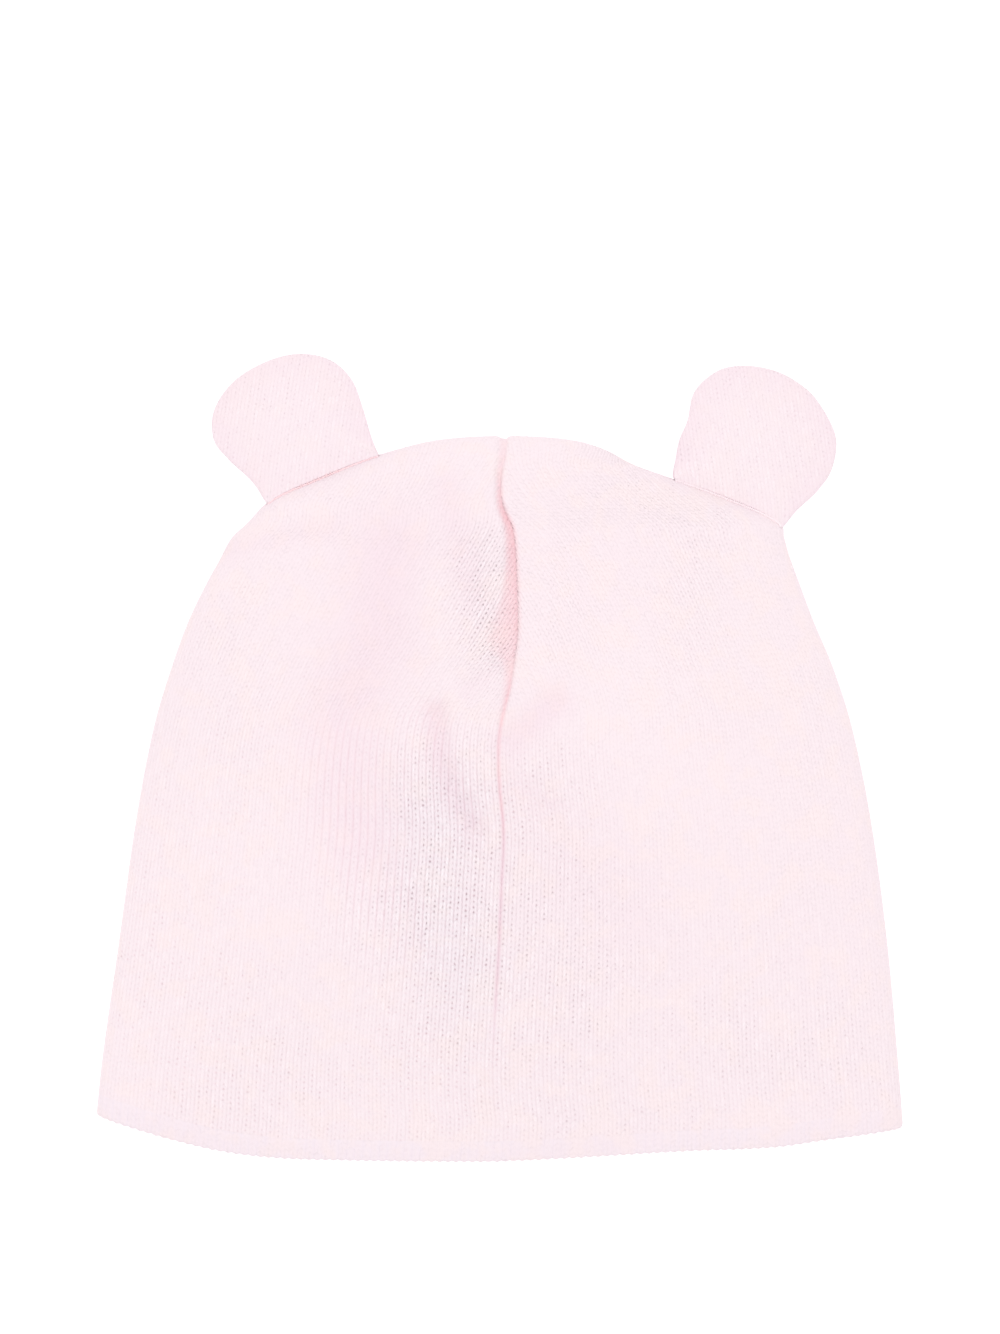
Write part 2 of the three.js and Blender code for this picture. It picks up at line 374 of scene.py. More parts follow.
DART = (
    DartRow(0.0, 0.0, 0.0, 1.5, 0.0),
    DartRow(0.56, 0.0, 0.0, 1.5, 0.0),
    DartRow(0.61, 0.05, 0.0, 1.3, 0.1),
    DartRow(0.65, 0.2, 0.2, 1.4, 0.5),
    DartRow(0.685, 0.5, 0.55, 2.2, 0.9),
    DartRow(0.7, 0.75, 0.75, 4.4, 0.9),
    DartRow(0.718, 0.92, 0.8, 6.4, 0.9),
    DartRow(0.736, 1.0, 0.8, 5.7, 1.0),
    DartRow(0.76, 1.0, 0.8, 4.5, 1.05),
    DartRow(0.786, 0.97, 0.8, 3.2, 1.1),
    DartRow(0.812, 0.92, 0.8, 2.5, 1.15),
    DartRow(0.847, 0.8, 0.8, 2.1, 1.3),
    DartRow(0.887, 0.65, 0.8, 1.5, 1.5),
    DartRow(0.92, 0.5, 0.7, 0.9, 1.1),
    DartRow(0.95, 0.45, 0.5, 1.0, 0.6),
    DartRow(1.0, 0.46, 0.0, 1.6, 0.4),
)

RIBS = (
    RibRow(0.0, 0.0, 0.0, 0.0),
    RibRow(0.6, 0.0, 0.0, 0.0),
    RibRow(0.66, 2.3, 2.8, 0.0),
    RibRow(0.7, 4.6, 5.2, 0.0),
    RibRow(0.8, 9.9, 10.4, 0.0),
    RibRow(0.86, 13.4, 13.6, 0.0),
    RibRow(0.9, 15.8, 15.8, 2.5),
    RibRow(0.94, 17.9, 17.8, 8.0),
    RibRow(0.967, 19.3, 19.1, 13.7),
    RibRow(0.981, 19.8, 19.7, 17.2),
    RibRow(0.9945, 20.4, 20.4, 21.7),
    RibRow(1.0, 21.0, 21.0, 29.0),
)

HEM = (
    HemRow(0.0, 0.0, 0.0),
    HemRow(0.1, 0.0, 0.4),
    HemRow(0.25, 0.1, 1.2),
    HemRow(0.4, 0.35, 2.1),
    HemRow(0.5, 0.6, 2.6),
    HemRow(0.6, 1.3, 2.9),
    HemRow(0.7, 2.7, 3.5),
    HemRow(0.8, 4.9, 4.9),
    HemRow(0.9, 7.6, 6.2),
    HemRow(1.0, 10.6, 7.7),
)

# The hollow left of the tuck and its foot, the dimple by the seam, the creases below and above the tuck,
# three folds right of the seam, the crease under the left ear and a ridge beside the tuck. Each also lays
# painted shade on the cloth, and the ridge's negative shade takes some of it away.
DENTS = (
    Dent((Spot(-0.27, 0.84), Spot(-0.3, 0.73), Spot(-0.39, 0.6), Spot(-0.34, 0.45)), 0.35, 0.05, 1.05),
    Dent((Spot(-0.29, 0.39), Spot(-0.22, 0.31)), 0.2, 0.03, 0.25),
    Dent((Spot(-0.155, 0.62), Spot(-0.142, 0.56), Spot(-0.11, 0.51), Spot(-0.055, 0.46)), 0.09, 0.07, 1.05),
    Dent((Spot(0.01, 0.685), Spot(-0.08, 0.645)), 0.06, 0.02, 0.25),
    Dent((Spot(-0.13, 0.93), Spot(-0.06, 0.78)), 0.12, 0.03, 0.6),
    Dent((Spot(0.03, 0.58), Spot(0.14, 0.634)), 0.13, 0.035, 1.0),
    Dent((Spot(0.02, 0.525), Spot(0.13, 0.49)), 0.1, 0.03, 0.55),
    Dent((Spot(0.18, 0.43), Spot(0.32, 0.35)), 0.36, 0.025, 0.3),
    Dent((Spot(-0.67, 0.842), Spot(-0.42, 0.873)), 0.1, 0.02, 0.4),
    Dent((Spot(-0.175, 0.8), Spot(-0.09, 0.7)), 0.15, -0.02, -0.3),
)

# Where the cloth has a cooler cast
COOL = (Patch((Spot(-0.16, 0.47), Spot(-0.14, 0.36), Spot(-0.1, 0.26)), 11, 1.0),)

# Where the stitches show most: left of the seam in two stretches, beside the tuck, right of the seam,
# above the hem, on the right shoulder and at the left edge
CLEAR = (
    Patch((Spot(-0.12, 0.5), Spot(-0.14, 0.37)), 16, 0.9),
    Patch((Spot(-0.12, 0.27), Spot(-0.1, 0.2)), 14, 0.38),
    Patch((Spot(-0.04, 0.84), Spot(-0.02, 0.71)), 7, 0.85),
    Patch((Spot(0.14, 0.48), Spot(0.2, 0.28)), 15, 0.4),
    Patch((Spot(-0.7, 0.12), Spot(0.8, 0.16)), 28, 0.33),
    Patch((Spot(0.33, 0.92), Spot(0.48, 0.87), Spot(0.46, 0.74)), 10, 0.25),
    Patch((Spot(-0.7, 0.6), Spot(-0.8, 0.3)), 25, 0.2),
)

# Where the ribs stand out most, in relief and in painted shade between them with painted highlight on
# their crests: down the hollow left of the seam, and at the dimple
RIBBED = (
    Patch((Spot(-0.37, 0.55), Spot(-0.35, 0.46), Spot(-0.27, 0.35)), 12, 0.7),
    Patch((Spot(-0.17, 0.6), Spot(-0.08, 0.5)), 8, 0.45),
)

LEFT_EAR = (
    Bend(-0.44, 0.2),
    Bend(-0.52, 0.4),
    Bend(-0.56, 0.59),
    Bend(-0.48, 0.79),
    Bend(-0.28, 0.93),
    Bend(-0.02, 0.965),
    Bend(0.19, 0.915),
    Bend(0.35, 0.785),
    Bend(0.425, 0.59),
    Bend(0.42, 0.38),
    Bend(0.395, 0.13),
)

RIGHT_EAR = (
    Bend(-0.44, 0.15),
    Bend(-0.515, 0.34),
    Bend(-0.545, 0.53),
    Bend(-0.485, 0.76),
    Bend(-0.285, 0.95),
    Bend(-0.11, 1.02),
    Bend(0.06, 1.03),
    Bend(0.24, 0.98),
    Bend(0.39, 0.87),
    Bend(0.48, 0.66),
    Bend(0.45, 0.44),
    Bend(0.45, 0.28),
    Bend(0.42, 0.12),
)


@dataclass(frozen=True)
class HatForm:
    """The hat's form: its smooth outer skin, and that skin with its tuck and dents.

    A point of a skin is given by its row, from 0 at the hem to 1 at the crown, its lap round the hat,
    from 0 at the back seam over 1 at the side fold to 2 at the middle of the front, and its side.
    A pair such as fold_rise gives where a smooth step starts and ends, as shares of the length, or in
    metres right of the seam where its values are in MM.
    """

    width: float = 189 * MM
    length: float = 170.5 * MM
    loft: float = 30 * MM
    hem_loft: float = 14 * MM
    wall: float = 2.2 * MM
    side_fold: float = 4.5 * MM
    crown_fold: float = 7 * MM
    underside_rounding: float = 8 * MM
    hem_bow_fade: float = 1.5
    fold_rise: tuple[float, float] = (0.6, 0.95)
    dome_start: float = 0.5
    back_fullness: float = 0.9
    fold_spare: float = 0.57
    most_turn: float = 0.9
    least_reach: float = 1e-3
    least_radius: float = 1e-6
    notch_start: float = 0.96
    tip_start: float = 0.96
    dart_depth: float = 1.6 * MM
    dart_slope: float = 1.2 * MM
    dart_power: float = 4.0
    # How strong the painted shade is in the tuck; low_seam_shade below sets it on the seam's lower part
    dart_shade: float = 1.15
    lip_lean: float = 1.35 * MM
    lip_reach: float = 9 * MM
    lining_slack: float = 2.4 * MM
    seam_line: float = 0.42 * MM
    seam_start: tuple[float, float] = (0.18, 0.26)
    seam_firm: tuple[float, float] = (0.42, 0.5)
    seam_end: tuple[float, float] = (0.64, 0.69)
    faint_seam: float = 0.3
    low_seam_start: tuple[float, float] = (0.14, 0.22)
    low_seam_end: tuple[float, float] = (0.46, 0.54)
    low_seam_shade: float = 1.5
    plain_start: tuple[float, float] = (-1 * MM, 1 * MM)
    plain_end: tuple[float, float] = (22 * MM, 38 * MM)
    plain_rise: tuple[float, float] = (0.55, 0.65)
    ribs: int = 50
    sought_rows: int = 4001

    @property
    def half(self) -> float:
        """Half the hat's width."""
        return self.width / 2

    def up_at(self, point: Array) -> Array:
        """Gives how far up the hat points lie, as shares of its length."""
        return point[..., 1] / self.length

    def outline(self, side: Array, up: Array) -> Array:
        """Gives how far out the outline lies.

        Args:
            side: Signs of the sides.
            up: Shares of the length.

        Returns:
            The outline's X at each of them.
        """
        left, right = TableCurve(OUTLINE, "left")(up), TableCurve(OUTLINE, "right")(up)
        tip = self.seam(np.ones(1))[0] * ease(up, self.tip_start, 1)
        return side * self.half * np.where(side < 0, left, right) + tip

    def seam(self, up: Array) -> Array:
        """Gives the back seam's X at shares of the length."""
        return self.half * TableCurve(SEAM, "across")(up)

    def fold(self, up: Array) -> Array:
        """Gives the height of the line where the hat is widest."""
        return mix(self.side_fold, self.crown_fold, ease(up, *self.fold_rise))

    def bowed(self, row: Array, across: Array) -> Array:
        """Gives the share of the length at a row, with the hem's bow, which fades towards the crown.

        Args:
            row: Places on the row scale.
            across: Shares of half the width, negative on the left.

        Returns:
            Shares of the length.
        """
        away = np.minimum(np.abs(across), 1)
        left, right = TableCurve(HEM, "left", "across")(away), TableCurve(HEM, "right", "across")(away)
        bow = np.where(across < 0, left, right) * MM / self.length
        return up_of(row) + bow * (1 - row) ** self.hem_bow_fade

    def climb(self, up: Array) -> Array:
        """Gives how far up the dome a share of the length is, from 0 to 1."""
        return np.clip((up - self.dome_start) / (1 - self.dome_start), 0, 1)

    def tube_radius(self, side_up: Array, climb: Array) -> Array:
        """Gives the radius of the form at a row, which turns from the tube's to the dome's."""
        tube = self.half * TableCurve(OUTLINE, "left")(np.minimum(side_up, self.dome_start))
        return mix(tube, self.length * (1 - self.dome_start), climb**2)

    def across(self, row: Array, share: Array) -> Array:
        """Gives how far across the plan a share of the way round a quarter lies.

        The way round is measured on the cloth, which is longer than the plan where it turns over the fold.

        Args:
            row: Places on the row scale.
            share: Shares of the way from the middle to the side fold.

        Returns:
            Shares of the way from the seam to the outline, in plan.
        """
        up = up_of(row)
        reach = self.half * np.maximum(TableCurve(OUTLINE, "left")(up), self.least_reach)
        fold = self.fold(up)
        climb = self.climb(up)
        turn = fold / np.maximum(self.tube_radius(up, climb) * (1 - climb**2), self.least_radius)
        arc = np.minimum(turn, self.most_turn) * reach
        spare = self.fold_spare * fold * (fold / np.maximum(arc, fold)) ** self.fold_spare
        way = np.sqrt(reach**2 + 2 * reach * spare) * (1 - share)
        return 1 - (np.sqrt(way**2 + spare**2) - spare) / reach

    def smooth(self, row: Array, lap: Array, side: Array) -> Array:
        """Gives points of the smooth outer skin, before its tuck and dents.

        Args:
            row: Places on the row scale.
            lap: Places round the hat.
            side: Signs of the sides.

        Returns:
            A point for each of them.
        """
        side = np.where((lap < 0) | (lap > 2), -side, side)
        lap = np.where(lap > 2, 4 - lap, np.abs(lap))
        is_back = lap <= 1
        across = self.across(row, np.where(is_back, lap, 2 - lap))
        side_up = self.bowed(row, side * 1.0)
        up = self.bowed(row, side * across)
        x = mix(self.seam(up_of(row)), self.outline(side, side_up), across)

        climb = self.climb(up)
        inward = np.maximum(0, (1 - climb**2) * (1 - across**2))
        from_edge = self.tube_radius(side_up, climb) * (1 - np.sqrt(np.maximum(0, 1 - inward)))
        fold = self.fold(up)
        loft = mix(self.hem_loft, self.loft, TableCurve(LOFT, "rise")(up))
        back = fold * (1 + rounded(from_edge, fold)) + (loft - 2 * fold) * inward**self.back_fullness
        front = fold * (1 - rounded(from_edge, self.underside_rounding))
        return np.stack([x, up * self.length, np.where(is_back, back, front)], axis=-1)

    def normals(self, surface: Surface, row: Array, lap: Array, side: Array) -> Array:
        """Gives a surface's outward directions.

        Args:
            surface: One of this class's surfaces.
            row: Places on the row scale.
            lap: Places round the hat.
            side: Signs of the sides.

        Returns:
            A vector of length 1 for each point.
        """
        row = np.clip(row, STEP, 1 - 3 * STEP)
        up = surface(row + STEP, lap, side) - surface(row - STEP, lap, side)
        around = surface(row, lap + STEP, side) - surface(row, lap - STEP, side)
        return unit(np.cross(around, up) * side[..., None])

    def dart(self, point: Array, column: str) -> Array:
        """Gives a column of the dart's table at the height of each point."""
        return TableCurve(DART, column)(self.up_at(point))

    def off_seam(self, point: Array) -> Array:
        """Gives how far to the right of the back seam each point lies."""
        return point[..., 0] - self.seam(self.up_at(point))

    def tuck(self, point: Array, slack: float) -> Array:
        """Gives how deep the tuck is.

        Args:
            point: Points of the back.
            slack: How much wider its sides are made.

        Returns:
            The depth at each point, before the table's share of it.
        """
        off = self.off_seam(point)
        left = self.dart(point, "reach") * MM + slack
        floor = np.exp(-((np.abs(off) / left) ** self.dart_power))
        return self.dart_depth * np.where(off < 0, floor, 1 - ease(off, 0, self.dart_slope + slack))

    def from_line(self, point: Array, line: Sequence[Spot]) -> Array:
        """Measures how far points lie in plan from a bent line.

        Args:
            point: The points.
            line: The line's own points, in order.

        Returns:
            A distance for each point.
        """
        size = np.array([self.half, self.length])
        spots = [np.array(spot) * size for spot in line]
        away = np.full(point.shape[:-1], np.inf)
        for start, end in zip(spots, spots[1:]):
            run = end - start
            offset = point[..., :2] - start
            share = np.clip(offset @ run / (run @ run), 0, 1)
            away = np.minimum(away, np.linalg.norm(offset - share[..., None] * run, axis=-1))
        return away

    def dents(self, point: Array, slack: float) -> Array:
        """Gives how deep the soft dents and creases are.

        Args:
            point: Points of the back.
            slack: How much wider they are made.

        Returns:
            The depth at each point.
        """
        depth = np.zeros(point.shape[:-1])
        for dent in DENTS:
            reach = dent.reach * self.loft + slack
            depth += self.loft * dent.depth * trough(self.from_line(point, dent.line), reach)
        return depth

    def shade(self, point: Array) -> Array:
        """Gives how much painted shade lies on the dents and on the seam's lower part.

        Args:
            point: Points of the back.

        Returns:
            A share for each point, which may pass 1.
        """
        shade = np.zeros(point.shape[:-1])
        for dent in DENTS:
            shade += dent.shade * trough(self.from_line(point, dent.line), dent.reach * self.loft)
        up = self.up_at(point)
        low = ease(up, *self.low_seam_start) * (1 - ease(up, *self.low_seam_end))
        return shade + self.low_seam_shade * low * trough(self.off_seam(point), self.seam_line)

    def flush(self, point: Array) -> Array:
        """Gives the painted shade, a deeper pink, in the tuck and on the seam's line.

        Args:
            point: Points of the back.

        Returns:
            A share for each point, which may pass 1.
        """
        tuck = self.dart_shade * self.dart(point, "flush") * self.tuck(point, 0.0) / self.dart_depth
        up = self.up_at(point)
        firm = ease(up, *self.seam_start) * mix(self.faint_seam, 1.0, ease(up, *self.seam_firm))
        line = firm * (1 - ease(up, *self.seam_end))
        return tuck + line * trough(self.off_seam(point), self.seam_line)

    def strength(self, point: Array, patches: Sequence[Patch]) -> Array:
        """Gives how strong soft patches are.

        Args:
            point: Points of the back.
            patches: The patches.

        Returns:
            The sum of their strengths at each point.
        """
        total = np.zeros(point.shape[:-1])
        for patch in patches:
            total += patch.strength * trough(self.from_line(point, patch.line), patch.reach * MM)
        return total

    def clear(self, point: Array) -> Array:
        """Gives how far the stitches show, which is less where the cloth is drawn smooth right of the tuck.

        Args:
            point: Points of the back.

        Returns:
            A share for each point.
        """
        off = self.off_seam(point)
        plain = ease(off, *self.plain_start) * (1 - ease(off, *self.plain_end))
        plain = plain * ease(self.up_at(point), *self.plain_rise)
        return np.minimum(self.strength(point, CLEAR), 1) * (1 - plain)

    def pressed(self, row: Array, lap: Array, side: Array, slack: float, wall: float) -> Array:
        """Gives points of the smooth skin pressed in by the tuck, the dents and a wall.

        Args:
            row: Places on the row scale.
            lap: Places round the hat.
            side: Signs of the sides.
            slack: How much wider the tuck and the dents are made.
            wall: How far the whole skin is moved inwards.

        Returns:
            A point for each place.
        """
        point = self.smooth(row, lap, side)
        normal = self.normals(self.smooth, row, lap, side)
        up = self.up_at(point)
        notch = TableCurve(DART, "depth")(np.ones_like(up)) * ease(up, self.notch_start, 1)
        is_back = np.abs(lap) <= 1
        share = np.where(is_back, self.dart(point, "depth"), notch)
        depth = share * self.tuck(point, slack) + np.where(is_back, self.dents(point, slack), 0)
        return point - normal * (depth + wall)[..., None]

    def skin(self, row: Array, lap: Array, side: Array) -> Array:
        """Gives points of the outer skin, whose right lip leans over the tuck.

        Args:
            row: Places on the row scale.
            lap: Places round the hat.
            side: Signs of the sides.

        Returns:
            A point for each place.
        """
        point = self.pressed(row, lap, side, 0.0, 0.0)
        off = self.off_seam(point)
        lean = ease(off, 0, self.dart_slope) * (1 - ease(off, self.dart_slope, self.lip_reach))
        lean = lean * np.where(np.abs(lap) <= 1, self.dart(point, "lean"), 0) * self.lip_lean
        point[..., 0] -= lean
        return point

    def lining(self, row: Array, lap: Array, side: Array) -> Array:
        """Gives points of the inner skin, one wall inside, with room round the tuck."""
        return self.pressed(row, lap, side, self.lining_slack, self.wall)

    def cut(self, row: Array, is_back: Array) -> Array:
        """Gives the ribs that the middle seam or dart has cut off below a row."""
        up = up_of(row)
        return np.where(is_back, MonotoneCurve(RIBS, "back")(up), MonotoneCurve(RIBS, "front")(up))

    def last_rib(self, row: Array) -> Array:
        """Gives the rib that lies on the outline at a row."""
        return self.ribs - MonotoneCurve(RIBS, "top")(up_of(row))

    def crown_rib(self) -> float:
        """Gives the rib that runs into the crown itself."""
        return float(self.last_rib(np.ones(1))[0])

    def rib_lap(self, rib: Array, row: Array, is_back: Array) -> Array:
        """Gives where a rib lies round the hat at a row.

        Args:
            rib: Ribs of a quarter, counted from the middle.
            row: Places on the row scale.
            is_back: Whether the quarter is of the back.

        Returns:
            Places round the hat.
        """
        cut = self.cut(row, is_back)
        share = np.clip((rib - cut) / np.maximum(self.last_rib(row) - cut, LEAST_RIBS), 0, 1)
        home = (rib >= self.crown_rib()) * 1.0
        share = np.where(row >= self.rib_end(rib, is_back), home, share)
        return np.where(is_back, share, 2 - share)

    def rib_end(self, rib: Array, is_back: Array) -> Array:
        """Gives the row at which a rib runs into a seam: the middle one, or the top one on the outline.

        Args:
            rib: Ribs of a quarter, counted from the middle.
            is_back: Whether the quarter is of the back.

        Returns:
            Places on the row scale.
        """
        rows = np.linspace(0, 1, self.sought_rows)
        ends = []
        for back in (True, False):
            cut = self.cut(rows, np.full(rows.shape, back))
            after = np.clip(np.searchsorted(cut, rib, side="right"), 1, rows.size - 1)
            step = np.maximum(cut[after] - cut[after - 1], TINY)
            share = np.clip((rib - cut[after - 1]) / step, 0, 1)
            ends.append(mix(rows[after - 1], rows[after], share))
        top = self.last_rib(rows)[::-1] + np.arange(rows.size) * LEAST_RIBS
        at_top = np.interp(rib, top, rows[::-1])
        middle = np.where(is_back, ends[0], ends[1])
        return np.where(rib < self.crown_rib(), middle, at_top)


# Meshes


def lattice(name: str, columns: int, rows: int) -> bpy.types.Mesh:
    """Makes a flat grid whose vertices are then moved.

    Args:
        name: The mesh's name.
        columns: Faces along X.
        rows: Faces along Y.

    Returns:
        The mesh, from 0 to 1 on both axes.
    """
    bm = bmesh.new()
    bmesh.ops.create_grid(bm, x_segments=columns, y_segments=rows, size=0.5)
    bmesh.ops.translate(bm, verts=bm.verts, vec=(0.5, 0.5, 0))
    mesh = bpy.data.meshes.new(name)
    bm.to_mesh(mesh)
    bm.free()
    return mesh


def wrap(mesh: bpy.types.Mesh, points: Array, maps: dict[str, Array]) -> None:
    """Moves a lattice's vertices to their places, gives it its maps and closes it.

    Args:
        mesh: A mesh from lattice().
        points: The places, by row and column.
        maps: Pairs of values by row and column, by the name of their map.
    """
    rows, columns = points.shape[0] - 1, points.shape[1] - 1
    flat = np.zeros(len(mesh.vertices) * 3, np.float32)
    mesh.vertices.foreach_get("co", flat)
    spot = flat.reshape(-1, 3)
    i, j = np.rint(spot[:, 0] * columns).astype(int), np.rint(spot[:, 1] * rows).astype(int)
    mesh.vertices.foreach_set("co", points[j, i].astype(np.float32).ravel())
    corners = np.zeros(len(mesh.loops), np.int32)
    mesh.loops.foreach_get("vertex_index", corners)
    for name, values in maps.items():
        layer = mesh.uv_layers.new(name=name)
        layer.uv.foreach_set("vector", values[j, i][corners].astype(np.float32).ravel())

    bm = bmesh.new()
    bm.from_mesh(mesh)
    bmesh.ops.remove_doubles(bm, verts=bm.verts, dist=WELD)
    bmesh.ops.dissolve_degenerate(bm, edges=bm.edges, dist=WELD)
    open_ends = {end for edge in bm.edges if edge.is_boundary for end in edge.verts}
    bmesh.ops.remove_doubles(bm, verts=list(open_ends), dist=OPEN_WELD)
    bmesh.ops.recalc_face_normals(bm, faces=bm.faces)
    for face in bm.faces:
        face.smooth = True
    bm.to_mesh(mesh)
    bm.free()
    mesh.update()


def show(mesh: bpy.types.Mesh, material: bpy.types.Material) -> bpy.types.Object:
    """Puts a mesh in the scene with its material.

    Args:
        mesh: The finished mesh, in the row frame.
        material: Its finish.

    Returns:
        The mesh's object.
    """
    mesh.materials.append(material)
    piece = bpy.data.objects.new(mesh.name, mesh)
    bpy.context.scene.collection.objects.link(piece)
    return piece


# Finishes


@dataclass(frozen=True)
class NodeSheet:
    """A short way to write a material's nodes. A value is a number, a colour or another node's output."""

    tree: bpy.types.NodeTree

    def node(self, kind: str, inputs: Inputs | None = None, **settings: object) -> bpy.types.Node:
        """Adds a node.

        Args:
            kind: The node's type.
            inputs: What its inputs are linked or set to, by their names.
            settings: Values of its properties, by their names.

        Returns:
            The node.
        """
        made = self.tree.nodes.new(kind)
        for name, value in settings.items():
            setattr(made, name, value)
        for name, value in (inputs or {}).items():
            self.feed(made.inputs[name], value)
        return made

    def feed(self, socket: Socket, value: object) -> None:
        """Gives an input its value.

        Args:
            socket: The input.
            value: The value that it is linked or set to.
        """
        if isinstance(value, bpy.types.NodeSocket):
            self.tree.links.new(value, socket)
        else:
            socket.default_value = value

    def math(self, operation: str, *values: object) -> Socket:
        """Adds a Math node.

        Args:
            operation: The node's operation.
            values: Its inputs.

        Returns:
            The node's output.
        """
        made = self.node("ShaderNodeMath", operation=operation)
        for socket, value in zip(made.inputs, values):
            self.feed(socket, value)
        return made.outputs[0]

    def times(self, first: object, second: object) -> Socket:
        """Gives one value times another."""
        return self.math("MULTIPLY", first, second)

    def scaled(self, value: object, factor: object, start: object) -> Socket:
        """Gives a value times a factor, added to a start."""
        return self.math("MULTIPLY_ADD", value, factor, start)

    def power(self, value: object, exponent: float) -> Socket:
        """Gives a power of a value."""
        return self.math("POWER", value, exponent)

    def rest(self, value: object) -> Socket:
        """Gives what a value leaves of 1."""
        return self.math("SUBTRACT", 1.0, value)

    def wave(self, value: object) -> Socket:
        """Gives a wave between 0 and 1 that peaks at whole numbers."""
        return self.scaled(self.math("COSINE", self.times(value, 2 * math.pi)), 0.5, 0.5)

    def ramp(self, value: object, start: float, end: float) -> Socket:
        """Adds a smooth step.

        Args:
            value: The value that it steps by.
            start: Where the step is 0.
            end: Where it is 1.

        Returns:
            The step's output.
        """
        inputs = {"Value": value, "From Min": start, "From Max": end}
        return self.node("ShaderNodeMapRange", inputs, interpolation_type="SMOOTHSTEP").outputs["Result"]

    def noise(self, vector: object, scale: float, detail: float = 2.0) -> Socket:
        """Adds a noise pattern.

        Args:
            vector: The place that it is read at.
            scale: How many of its spots lie in a metre, about.
            detail: How many finer patterns it holds.

        Returns:
            The pattern's value.
        """
        inputs = {"Vector": vector, "Scale": scale, "Detail": detail}
        return self.node("ShaderNodeTexNoise", inputs).outputs["Fac"]

    def blend(self, share: object, first: object, second: object, way: Mixing = Mixing.PLAIN) -> Socket:
        """Mixes two colours.

        Args:
            share: How much of the second there is.
            first: The first colour.
            second: The second colour.
            way: How they are mixed.

        Returns:
            The mixed colour.
        """
        inputs = {"Factor": share, "A": first, "B": second}
        made = self.node("ShaderNodeMix", inputs, data_type="RGBA", blend_type=way.value)
        return made.outputs["Result"]

    def split(self, vector: Socket) -> tuple[Socket, Socket, Socket]:
        """Gives a vector's three parts.

        Args:
            vector: The vector or colour.

        Returns:
            Its parts.
        """
        made = self.node("ShaderNodeSeparateXYZ", {"Vector": vector})
        return made.outputs[0], made.outputs[1], made.outputs[2]

    def pair(self, name: str) -> tuple[Socket, Socket]:
        """Gives the two values of one of the piece's maps."""
        return self.split(self.node("ShaderNodeUVMap", uv_map=name).outputs[0])[:2]

    def place(self) -> Socket:
        """Gives the Object coordinates."""
        return self.node("ShaderNodeTexCoord").outputs["Object"]

    def surface(self, inputs: Inputs) -> None:
        """Adds the shader with these inputs, and makes it the material's surface."""
        shader = self.node("ShaderNodeBsdfPrincipled", inputs)
        self.node("ShaderNodeOutputMaterial", {"Surface": shader.outputs[0]})


def blank_material(name: str) -> tuple[bpy.types.Material, NodeSheet]:
    """Makes a material with no nodes.

    Args:
        name: The material's name.

    Returns:
        The material, and the sheet that its nodes are written on.
    """
    made = bpy.data.materials.new(name)
    made.use_nodes = True
    made.node_tree.nodes.clear()
    return made, NodeSheet(made.node_tree)


class Stitches(NamedTuple):
    """The knit's patterns, as outputs of nodes.

    Attributes:
        side: From 0 in the dotted middle of a rib, over its leg, to 1 in the groove beside it.
        groove: How deep a point is in the grooves and in the rib's middle line.
        legs: How high it is on the leg of a stitch.
        eyelets: How deep it is in the hole of a stitch.
        luck: A chance value for each stitch.
        glint: Another, which is high on few stitches.
        firm: Another, for how deep its groove is.
        at_hem: 1 on the hem's first courses and 0 above them.
        shown: How far the stitches show.
    """

    side: Socket
    groove: Socket
    legs: Socket
    eyelets: Socket
    luck: Socket
    glint: Socket
    firm: Socket
    at_hem: Socket
    shown: Socket


